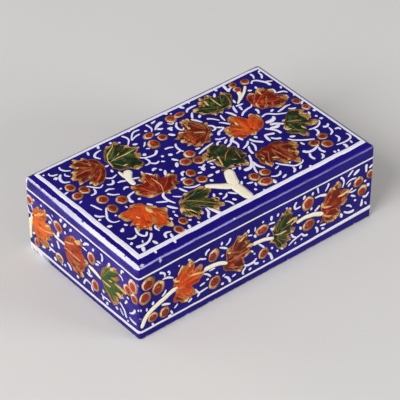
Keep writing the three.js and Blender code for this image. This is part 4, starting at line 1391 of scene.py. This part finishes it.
# %% Set the touches
TOUCHES = {
    "top": {
        "gold": """1.3 -53.4 32 -52.6 33; 1.2 -57.8 29 -56.8 29.6; 1.2 -51.3 36.6 -50.7 37.5;
            0.8 -38 27 -35 31.3 -30 34.5 -27 37; 0.8 -37 26 -33 26.3 -27 26.2 -21 26.5;
            0.9 -37.5 28 -38.3 24.5 -38.6 21.6; 1.2 -34.2 19.1 -31.8 19.3;
            0.6 -31.5 27.8 -29.5 29.2; 0.7 -31.4 -9.2 -29.4 -5 -29.4 -1.8 -29.5 3;
            1.9 -34.2 2.5 -33.1 2.7; 2.4 -46 -13.6 -45.8 -16.4 -45.6 -19;
            1.3 -53.7 -16.2 -53 -18.8; 1.2 -57.2 -21 -55.9 -21.9; 1.2 -55.5 -24.3 -54.6 -25.3;
            0.8 -32.8 -25.8 -30 -29.4 -29.2 -32.6; 1.3 -31.4 -27.5 -30.8 -28.9;
            1.7 10.1 21.8 10.6 23.8; 0.8 15 14.8 12.5 16.6 9.8 18.2; 1.7 6.2 -6.4 6.8 -4.6;
            0.8 3.8 -12.8 5.6 -8.6 6.6 -5; 1.5 30.3 31.2 30.8 34 31 36.2;
            0.9 35.4 27 35 30 35 36; 1.5 58 25.2 57.9 23 57.6 21.6;
            1.4 50.8 17.6 49.8 15.4 49.8 13.8; 1.4 48.2 -7.8 48.4 -9.6 50.6 -10.4;
            1.2 55.8 -12 56 -13.6 56.6 -15.2; 1.4 50.8 -3 53 -2.5; 1.2 23 -19.6 23.4 -21.2;
            1.3 22.8 -22.8 22.4 -24.6 22.6 -26.8; 1.4 27.4 -22.6 29 -23.4 29.9 -25.2;
            0.9 32.6 -28.2 33.5 -29.4; 1.4 31.8 12 31.3 8.6; 1.1 24.2 8.5 25.2 9.4;
            1.1 39.4 -26.4 41 -27""",
        "tan": """1.6 -58.6 23.5 -56.4 24.5; 1.5 -53.2 22.6 -51.3 23.4;
            2.6 -24.8 21.2 -22.4 21.8; 2.3 -30.6 14.2 -28.4 15.4; 2 -32.3 4.2 -31.8 6.8;
            2.3 -47.4 -21 -48 -24 -48.7 -27; 1.5 -42.1 -20.6 -41 -23.4;
            0.9 -30 -21.5 -26 -23.2 -20 -29.4 -14.8 -36; 1.4 -30.4 -21 -26.8 -21;
            1.5 -18.6 -25.8 -16.2 -25.8; 2.5 -19.3 -33.7 -18.8 -35.9;
            1.5 9.8 24.4 12 26.4 14.2 28.4; 1.6 2.6 -9.3 4.6 -8.5; 1.7 3 -3.9 5 -3.1;
            1.6 1.8 0.1 3.4 1.1; 0.8 7.6 -9.6 11 -6 15 -3.4; 0.7 15 -13 16.2 -9 17 -6;
            1 10.8 -10.8 13 -12.6; 2.1 28 32 28.9 34; 0.8 39 23.8 41.6 28 43 33;
            2.1 51.6 11.9 54.6 12.9; 2.6 64.2 14.4 65.4 10.8; 2 55.9 9.5 58.6 8.3;
            1.9 58.6 -11.5 61.2 -13.3; 1.5 52.4 -4.6 56 -6.2 59.2 -8.4;
            2.6 61.6 -4.4 63.4 -7 63.5 -9.8; 0.8 49.8 -11.4 52 -13 54 -15;
            1.9 51.7 -17.3 52.4 -19.6; 1.4 63.3 -3.6 66.4 -1.7; 2.5 29.8 -26.4 31.2 -29.8;
            1.9 38.2 -23.4 39.4 -26; 2.1 41.9 -18.6 42.5 -20.8; 1.9 42.2 -23.3 43.9 -22.5;
            1.4 38.8 -22.2 36.8 -24.8; 2.5 23.3 7.6 24.4 4.4; 2.6 32.4 16.2 32.4 13.6;
            1.6 43 8.8 43.6 4.8; 1.1 53.8 13.4 56.4 16.2 58.8 19; 1.4 29.6 0.6 30.6 -0.6;
            1.3 33.6 -0.6 33 -2.2""",
        "rose": """1.6 -46.9 29.4 -46.2 32.6; 0.9 -56 27.8 -51 28 -47 27.5;
            0.9 -34.6 -9 -36.2 -5.5 -37.8 -2.4; 0.8 -24.4 -8.4 -23.2 -5.6; 1.5 4.3 16.6 4.3 19;
            1.5 4.5 14.3 4.5 16.2; 1.4 50.8 25 53.2 25.2; 1.1 53 -20 53.9 -19.6;
            1 24.4 -16.4 24.9 -18.6 24.2 -20.6; 1.1 31.8 -16.8 32.2 -20 33 -24.4;
            1.6 28.2 2.8 29.2 0.4; 1.9 41.2 11.6 42.6 8.8; 1.4 37.6 0.2 38.6 -0.4;
            1.1 62.6 15.4 64 14.6""",
        "umber": """1 -28 30.3 -27.6 32.7; 1 -26.7 29.8 -26.5 32.2; 1.6 -27.2 -8.3 -24.8 -7.8;
            1.2 -51.9 -22.4 -51.1 -24.8; 1.2 -42.9 -27.6 -43.5 -30.2;
            1.7 -15.3 -29.9 -14.3 -31.1; 1.2 34 37.2 34.2 38.8; 1.2 36.5 33.5 37.5 34.7;
            1.2 34.9 1 34.2 3.2; 1 -49 21 -47 22.6; 1.1 57 18.2 58.2 19.8; 1 35 -17.6 34.6 -21;
            1 62.2 22.6 62.8 24.6; 1 49.2 -14.6 48.8 -16""",
        "ember": """1.2 -53.5 17.5 -49 19.5 -45 23; 2.3 -38.7 -7.1 -37.1 -5.9;
            2.3 -55.6 -12.4 -51 -12.2 -47.2 -12.4; 1.8 -48 -12.6 -51.5 -17 -53 -20 -55 -23;
            1.5 -44.5 -19.6 -45 -25.2; 2.1 4.9 10.8 5.5 14.7; 2.1 52.8 15 55.2 18;
            1.6 56.3 10.8 58.2 13.8; 1.4 27.2 -15.4 28.2 -17.6; 2 40.6 4.4 37.8 4.9;
            1 36.7 1.9 40.1 5.5; 2 34.8 9.9 34.6 6""",
        "teal": """2 -34.4 28 -32.7 30; 2 -32.2 22.2 -29.8 22.8; 1.8 -34.7 -28.2 -34.2 -30;
            1.8 -27.8 -25.1 -26.2 -25.9; 2.2 55 -2.2 56.6 -4.4; 2 10 -1.6 12 0.6;
            1.8 38.4 29 39.6 31.6; 1.8 47.4 -12.2 49.4 -13.6""",
    },
    "front": {
        "gold": """1.3 -44.8 24.7 -41 24.2 -38 23.2 -35.2 22.5; 1.8 -44.9 32.5 -44.1 30.6;
            1.5 -54.5 27.5 -52.6 25.8 -50.8 25.3; 1.5 -13.6 30.1 -11.8 30.6 -10.2 31.2;
            1.9 -8.4 24.2 -4.6 24; 1.2 -20.8 26.5 -18.4 25.7;
            1.2 9.8 22.5 12 21.2 14.5 21 17.4 21; 1.4 17.2 25.3 20 26 23.6 26.3;
            1 20.2 23.1 22.6 24 24.8 23.4; 1.7 51.4 25.2 55 25 58.6 25.7;
            1.3 40.5 24.3 43 22.6 47.2 21.4; 1.5 47.8 32.8 49.5 31; 1.4 50.1 34.2 51.1 35;
            0.8 -51.8 29.6 -50.4 31.6 -48.4 33.1; 1 41.4 18.9 44 16.4 47.8 14.6""",
        "tan": """1 -53.5 21.3 -50.5 20 -47.6 19.4;
            0.8 -48.6 33 -47 29.5 -45.6 25.8 -44.4 24.4; 2.3 -39.9 26.5 -37.3 27.6;
            2 -42.8 15.7 -41.3 12.4; 0.7 -53 17.2 -50 14 -46.8 11.6; 1.5 -13.9 33.4 -13.2 32;
            1.5 -10 28.6 -8.1 26; 1.7 -12.8 12.2 -11.2 11; 2.1 21.1 21.2 22.3 18.4;
            1.3 17.2 18.6 18.4 16.6 19.9 14.2; 1.7 15.4 33.4 16.7 31.8;
            2.1 18.5 33.9 19.5 31.1; 1 6.4 19.2 8.6 18 10.2 16.9; 2.3 14.2 12.7 17 11.3;
            1.9 52.1 33.9 51.4 30.8; 1 50.1 18.7 51.8 16.4 53.1 14.3; 1.6 49 12.6 50 11.6;
            1.5 45.8 12 46.8 11.2; 1.7 53.8 21.2 56.4 22.5""",
        "rose": """1.3 -20.8 20.7 -16 20.8 -12 21 -7.4 21.9; 0.9 -20.2 17.1 -16 15.2 -12.4 13;
            0.8 -18.6 25.6 -16 24.4 -13.6 24.2; 1.6 -53.1 19.8 -52 17.8;
            0.6 -9.6 25.2 -8 23.2 -6.8 21.4; 1.2 52.8 26.7 56.6 26.9; 1.3 41.8 25.4 43.2 24.9;
            0.9 -12.2 19.8 -10.8 17.4 -10.4 15.8; 1.4 45.6 27 47.2 28""",
        "umber": """1 -53.2 16.2 -50 13.2 -49 12; 0.9 -53.2 24.9 -51.4 23.7;
            1.3 18.8 28.5 21.2 27.7; 1 -44.2 26 -43.2 26.4; 1 -16.4 22.8 -12.4 22.4;
            1.1 48.6 20.2 51.6 20; 1 -10.4 27.6 -10.8 29.6; 1.2 44.6 13.4 47.4 13""",
        "ember": """2.4 -49.4 17.8 -45.4 15.6; 2 -48.6 24.4 -47.4 22.6; 1.8 -52 22.4 -49.4 22;
            1.8 -50.6 28.6 -49.8 27; 2 -18.6 18.2 -16.4 16.8; 1.8 43.4 17.6 45.4 19.4;
            1.8 43.6 26 45.6 25.2; 1.6 -44 13 -42.8 12.2""",
        "teal": "2 12.8 24.2 15.6 23.4; 1.8 12.6 18.8 14.6 18; 1.6 12 29.2 13.6 28.4",
    },
    "left": {
        "gold": """0.9 -39.8 24.6 -36 27.6 -32 30.4 -29.4 33.2; 2 -29.6 24.7 -26.2 26.7;
            0.9 -35.4 20.3 -30 21 -23.8 23.5; 1.3 -28.6 17.2 -29.4 16;
            1.4 -38.8 25.8 -35.4 28.4 -33.6 30; 3 -4.6 30.9 -0.4 31.7;
            1.4 -13.6 21 -9 20.8 -4 20.6 -0.8 20.6; 1.2 -13.2 25.3 -9 26.6 -5.4 28.6;
            1.4 17 20.3 20 20 24.2 20.2; 1.2 22.2 23.5 25.2 24.5; 2.4 28.2 19.5 32.2 19.7;
            2 27.2 24.6 32.5 24.5 35.8 23.8; 1.8 -1 13.4 0.8 12.4; 2.4 24.2 31.2 26.8 33.6;
            1.2 5 22.8 3.4 21.8""",
        "tan": """1.6 -25.3 19 -28.6 16.3; 2.1 -31.9 11.9 -28.8 13.5;
            0.8 -40 22.4 -37 24.4 -33.6 25.4; 3.2 -7 16.4 -1.6 17.8; 2.6 -5 14.4 -0.4 14.2;
            2 1.2 20.2 4 20.8; 2.5 24.2 26.5 28 27.8 31.2 30.2; 2.6 25.4 15.8 28.8 13.2;
            2.4 23.2 12.6 25.8 10.6; 1.1 16.3 22.8 17.4 26 19.6 28.8; 1.6 -6.4 11.4 -5 10.8;
            1.2 -38.4 12.6 -35.6 11.6; 1.3 19.6 16.8 22 14.6 24 12.6; 2 28 33.9 29.8 32.8""",
        "rose": """1.5 -34.6 31.5 -31.2 33.9; 1.8 -12.4 21.4 -6 21.2 -2 21.2;
            1 -9.4 12.8 -8 13.4; 1.2 1.4 17.6 2.4 16.6; 1.6 -35.8 15.4 -32.6 16.6;
            1.2 -33 10.6 -31.4 11.6; 1.4 -9.6 24 -8 23.6; 1.4 28.6 29 30.2 30.4""",
        "umber": """1.6 -40.9 24.7 -39 25; 1.2 -1.8 29.3 1.7 30.1; 1.5 -4.3 11.5 -1.4 11.1;
            1.4 -13.9 19.9 -12.4 19; 1.1 26 21.4 30 22 35.2 23.7; 1 -36.6 12.8 -33.4 12.4;
            1 -8.4 22.6 -5.4 22.2; 1 -6.8 19.4 -4 19.2; 0.9 19.8 14.6 22 14.2""",
        "ember": """
            2.6 -37.6 17.8 -34.6 16; 2 -38.4 28 -35.6 28.8; 1.8 -37 22.6 -33 22.2;
            2 -12 18.4 -10 16.6; 2 -10.6 28.8 -8.4 28; 1.8 -11.2 24.2 -8.2 23.4
        """,
        "teal": "1.9 20.6 24.6 22.6 26.4; 1.7 24 20.4 25.6 19; 1.6 21 17.6 23 16.8",
    },
}
TOUCHES["right"], TOUCHES["back"] = TOUCHES["left"], TOUCHES["front"]
TOUCH_SLOTS = {
    "rose": "red_paint",
    "umber": "maroon_paint",
    "ember": "orange_paint",
    "teal": "green_paint",
}
for paint, finish in TOUCH_PAINTS.items():
    for body, faces in (("lid", ("top",)), ("body", ROUND_THE_BODY)):
        dabs = [
            brushed(
                "touches", strokes_from(TOUCHES[face][paint]), LAYS[face], 0.06, 0.17, LEAF_TOUCH
            )
            for face in faces
        ]
        slot = TOUCH_SLOTS.get(paint, "gold_paint")
        gathered(f"{body}_touches_{paint}", dabs, finish, body, slot)

# %% [markdown]
# ## The berries
# Berries sit between the leaves in twos and threes. Each is a tan ring round a red-brown bead, both
# raised, and the bead is never quite in the middle. The blank is again a disc of rings. Each berry
# is a copy whose rings are lifted to the profile of a rim and a bead, a little oval and turned its
# own way.

# %% The berry blank and its paint
BERRY_RINGS = (1.0, 0.94, 0.86, 0.76, 0.66, 0.57, 0.48, 0.26)
BERRY_HEIGHTS = {  # how high a berry stands, by the share of its reach
    1.0: 0.01,
    0.94: 0.1,
    0.86: 0.17,
    0.76: 0.19,
    0.66: 0.14,
    0.57: 0.11,
    0.48: 0.18,
    0.26: 0.24,
    0.0: 0.25,
}
BERRY_MARKS = ("reach", "ripe", "pale", "lit")
BERRY_POINTS = 20
berry_blank = ringed_blank("berry_blank", BERRY_POINTS, BERRY_RINGS)


def berry_height(reach):
    places = sorted(BERRY_HEIGHTS)
    for low, high in zip(places, places[1:]):
        if reach <= high:
            share = (reach - low) / (high - low)
            return BERRY_HEIGHTS[low] * (1 - share) + BERRY_HEIGHTS[high] * share
    return BERRY_HEIGHTS[1.0]


berry_paint = Finish("berry_paint", Specular_IOR_Level=0.15)
reach, ripe, pale, lit = (berry_paint.mark(mark) for mark in BERRY_MARKS)
place = berry_paint.place()
dapple = berry_paint.cloudy(place, 900.0, 2.0)
patches = berry_paint.cloudy(place, 420.0, 1.0)

# the ring: tan, with a painted highlight as a pale crescent on its lit side and painted shade in
# brown across from it
ring_low = berry_paint.mixed(pale, colour(126, 76, 32), colour(204, 132, 84))
ring_high = berry_paint.mixed(pale, colour(206, 150, 84), colour(248, 206, 162))
ring = berry_paint.mixed((dapple * 1.4 + patches - 0.7).held(), ring_low, ring_high)
crescent = (lit + (patches - 0.5) * 0.8).rise(0.66, 0.88)
sunlit = berry_paint.mixed(pale, colour(246, 210, 150), colour(255, 234, 208))
ring = berry_paint.mixed(crescent * 0.85, ring, sunlit)
dusk = (1 - lit + (dapple - 0.5) * 0.8).rise(0.55, 0.85) * (0.85 - pale * 0.5)
ring = berry_paint.mixed(dusk, ring, colour(92, 48, 20))

# the bead: red, now and then an unripe olive, lighter on its lit side and with a soft glint, both
# painted light
bead_low = berry_paint.mixed(pale, colour(88, 10, 4), colour(172, 42, 18))
bead_high = berry_paint.mixed(ripe, colour(140, 24, 8), colour(206, 58, 20))
bead = berry_paint.mixed((lit * 0.9 + dapple * 1.4 - 0.8).held(), bead_low, bead_high)
bead = berry_paint.mixed(1 - ripe.rise(0.05, 0.1), bead, colour(138, 104, 44))
glint = (lit * 1.2 + patches * 0.6 - abs(reach - 0.3) * 3).rise(0.85, 1.15)
bead = berry_paint.mixed(glint * 0.5, bead, colour(236, 150, 104))

wobble = reach + (dapple - 0.5) * 0.2
groove = berry_paint.mixed(pale, colour(66, 20, 10), colour(150, 60, 34))
grooved = berry_paint.mixed(wobble.rise(0.5, 0.55), bead, groove)
inner = berry_paint.mixed(wobble.rise(0.58, 0.65), grooved, ring)
rimmed = berry_paint.mixed(wobble.rise(0.87, 0.95) * (0.9 - pale * 0.6), inner, colour(62, 30, 16))
berry_paint.paint(
    Base_Color=rimmed,
    Metallic=(wobble.rise(0.58, 0.65) * patches * 0.2).held(),
    Roughness=0.22 + dapple * 0.12,
    Normal=berry_paint.bumped(dapple, 0.00006, 0.5),
)
print("berry blank:", len(berry_blank.data.polygons), "faces")

# %% Set the berries
BERRIES = {  # the middle, the width and the height, then how far off its bead is and how ripe
    "top": """
        -65 22 5.5 6.8; -66 14.4 6 6.3 0 0.4 0.9; -60.5 16.3 5.5 7 -0.4 0.3 0.3;
        -58.2 4.6 6.5 7; -58.5 -4 6 7; -51 -1.5 6.5 7; -9.3 31 6.4 5 1.2 0 0.4;
        -11.5 23.6 7 7.5 1.4 1.5 1; -4.4 25.4 5.2 5.8 -0.7 0.4 0.2; -8 2.2 7 6 -0.6 0.3 1;
        -2.7 6 6 6.8 0.9 0 1; -2 -0.7 7 6.5; -11.7 -6.5 5.8 6; -17 -11.4 6 6.2;
        -10.7 -13.6 5.7 6.7; -38 -33.3 5 6; -43.6 -37 5.3 6.6; 10.5 -28.7 6 6.7;
        17 -29.3 6 6.2; 12.6 -35 8 7.2; 51.5 -26.8 6.5 5.5; 58.6 -25.2 6 5.5; 56.4 -31.4 6 6.8;
        51.5 37.6 5 4.3; 50.8 33 4.5 5; 58.2 35.7 5.3 5.3 0.6 0.4 0.9;
        67.8 6 4.5 6 -0.2 -1.4 1; 68.5 -1.2 4.5 5.5; 8.3 34.8 6.2 6.5; 14 35 7 4""",
    "front": """
        -69.7 34 8.5 8.5 -1.2 -2.2 0.2; -72 25.5 8 8 -0.4 1.4 0.5;
        -63.8 28 7.6 9.6 -0.8 -0.8 0.4; -67.3 11 6.5 6 -0.3 0 0.3; -60.3 10.3 6.5 7 0.6 -1 0.2;
        -29.3 29.8 7.5 7.5 -2.4 -0.8 0.2; -28.8 12 8.2 8 -0.4 1.4 0.2;
        1.2 29.7 8.5 6.8 0.6 -0.4 0.6; 2.6 14 7 7 -0.2 0 0.3; 31.3 31 8.2 9 0 0.2 0.6;
        32.3 16.8 8.6 7.5 0 0.3 0.5; 65.2 27.8 6.6 6.8 1 -1 0.2; 68.3 21 7 7 -0.4 -2.2 0.5;
        73.5 29 5.5 6 -0.6 0 0.5""",
    "left": """
        -42.5 33.5 6.6 6 -0.6 -0.4 0.6; -18.5 31 8 6.5 0 0 0.9; -19 10.6 6.5 6 0 -0.5 0;
        -38.3 8.4 5 5.6 -0.3 -0.3 0.8; 8.7 28.5 7 7.4 -0.8 0 0.6; 10.8 12.3 6 7.6 0 0 0.4;
        41.9 32.5 7.4 8 -0.8 -1 0.7; 37.6 27.6 7 6.6 0 0 0.8; 42.7 25.2 5.8 6.4 -0.8 -0.8 0.4""",
}
BERRIES["right"], BERRIES["back"] = BERRIES["left"], BERRIES["front"]
chance = random.Random(11)
set_berries = {"lid": [], "body": []}
for face, text in BERRIES.items():
    for part in text.split(";"):
        u, v, width, height, *bead = (float(word) for word in part.split())
        berry = copied(berry_blank, BERRY_MARKS)
        marks = {name: berry.data.attributes[name].data for name in BERRY_MARKS}
        ripeness = bead[2] if bead else chance.uniform(0.2, 1)
        # the berries of the two ends are paler all over: painted light, as if each end were lit
        # from its side
        palest, darkest = (1, 0.55) if face in ("left", "right") else (0.35, 0)
        paleness = chance.uniform(darkest, palest)
        turn, egg = chance.uniform(-0.5, 0.5), chance.uniform(-0.08, 0.08)
        shift = Vector(bead[:2] if bead else (chance.uniform(-1.1, 0.6), chance.uniform(-0.9, 0.8)))
        # which way the painted light falls on each berry: its painted highlight and painted shade
        # follow it
        sunny = (3.5 if face == "top" else 2.3) + chance.uniform(-0.8, 0.8)
        for i, vertex in enumerate(berry.data.vertices):
            reach = vertex.co.xy.length
            lift = -SINK if is_under(vertex) else berry_height(reach)
            angle = math.atan2(vertex.co.y, vertex.co.x)
            values = (reach, ripeness, paleness, reach * math.cos(angle - sunny) * 0.5 + 0.5)
            for name, value in zip(BERRY_MARKS, values):
                marks[name][i].value = value
            off_centre = shift * (1 - reach)
            reach *= 1 + egg * math.cos(2 * (angle - turn)) + 0.03 * math.sin(5 * angle + u)
            at = (
                u + reach * math.cos(angle) * width / 2 + off_centre.x,
                v + reach * math.sin(angle) * height / 2 + off_centre.y,
                lift,
            )
            vertex.co = LAYS[face](at)
        only(berry)
        bpy.ops.object.shade_smooth()
        set_berries[body_of(face)].append(berry)
bpy.data.objects.remove(berry_blank)
for body, berries in set_berries.items():
    gathered(body + "_berries", berries, berry_paint, body, "gold_paint")

# %% [markdown]
# ## Floor, light and camera
# A plain pale floor sweeps up far away, so that no horizon shows from a low view. The world gives
# an even light and three soft lamps model the box: a broad one from the left, a low one behind on
# the left that draws the line of light along the lid's left ridge, and a weak one in front.


# %% The floor
def plain_floor():
    bpy.ops.mesh.primitive_circle_add(vertices=96, radius=3, fill_type="NGON")
    floor = bpy.context.object
    floor.name = "studio_floor"
    bpy.ops.object.mode_set(mode="EDIT")
    bpy.ops.mesh.select_all(action="SELECT")
    bpy.ops.mesh.select_mode(type="EDGE")
    bpy.ops.mesh.region_to_loop()
    for step in range(1, 9):
        angle = math.radians(step * 9)
        bpy.ops.mesh.extrude_region()
        share = 1 + 0.06 * math.cos(angle)
        bpy.ops.transform.resize(value=(share, share, 1), center_override=(0, 0, 0))
        bpy.ops.transform.translate(value=(0, 0, 0.2 * math.sin(angle)))
    bpy.ops.object.mode_set(mode="OBJECT")
    bpy.ops.object.shade_smooth()
    paper = Finish("pale_floor", Roughness=0.85, Specular_IOR_Level=0.1)
    soft = paper.cloudy(paper.place(), 6.0, 2.0)
    paper.paint(Base_Color=paper.mixed(soft, colour(214, 212, 209), colour(222, 220, 217)))
    floor.data.materials.append(paper.material)


plain_floor()

# %% The lamps and the world
TARGET = Vector((-1.70, -0.95, 22.3)) * MM


def soft_lamp(name, place, size, power):
    bpy.ops.object.light_add(type="AREA", location=place)
    lamp = bpy.context.object
    lamp.name = name
    lamp.data.shape = "RECTANGLE"
    lamp.data.size, lamp.data.size_y = size
    lamp.data.energy = power
    lamp.rotation_euler = (TARGET - Vector(place)).to_track_quat("-Z", "Y").to_euler()
    lamp.visible_camera = False
    print(name, "at", place)


soft_lamp("key_left", (-1.5, -0.35, 1.25), (1.1, 1.1), 29)
soft_lamp("low_back_left", (-0.78, 1.1, 0.32), (0.9, 0.4), 4.5)
soft_lamp("fill_front", (0.9, -1.3, 0.5), (0.8, 0.5), 13)

world = bpy.data.worlds.new("studio_air")
bpy.context.scene.world = world
world.use_nodes = True
air = world.node_tree.nodes["Background"]
air.inputs["Color"].default_value = (0.98, 0.97, 1.0, 1)
air.inputs["Strength"].default_value = 0.33

# %% The camera
AZIMUTH, ELEVATION, ROLL = math.radians(-38.77), math.radians(38.79), math.radians(-0.42)
DISTANCE = 1.152
LENS, SENSOR = 204.8, 36
back = Vector(
    (
        math.sin(AZIMUTH) * math.cos(ELEVATION),
        -math.cos(AZIMUTH) * math.cos(ELEVATION),
        math.sin(ELEVATION),
    )
)
right = (-back).cross(Vector((0, 0, 1))).normalized()
up = right.cross(-back)
rolled_right = right * math.cos(ROLL) + up * math.sin(ROLL)
rolled_up = up * math.cos(ROLL) - right * math.sin(ROLL)
bpy.ops.object.camera_add(location=TARGET + back * DISTANCE)
camera = bpy.context.object
camera.name = "camera"
camera.rotation_euler = Matrix((rolled_right, rolled_up, back)).transposed().to_euler()
camera.data.lens, camera.data.sensor_width = LENS, SENSOR
camera.data.clip_start, camera.data.clip_end = 0.05, 20
bpy.context.scene.camera = camera
bpy.context.scene.view_settings.view_transform = "Standard"
print("camera at", [round(value, 3) for value in camera.location])
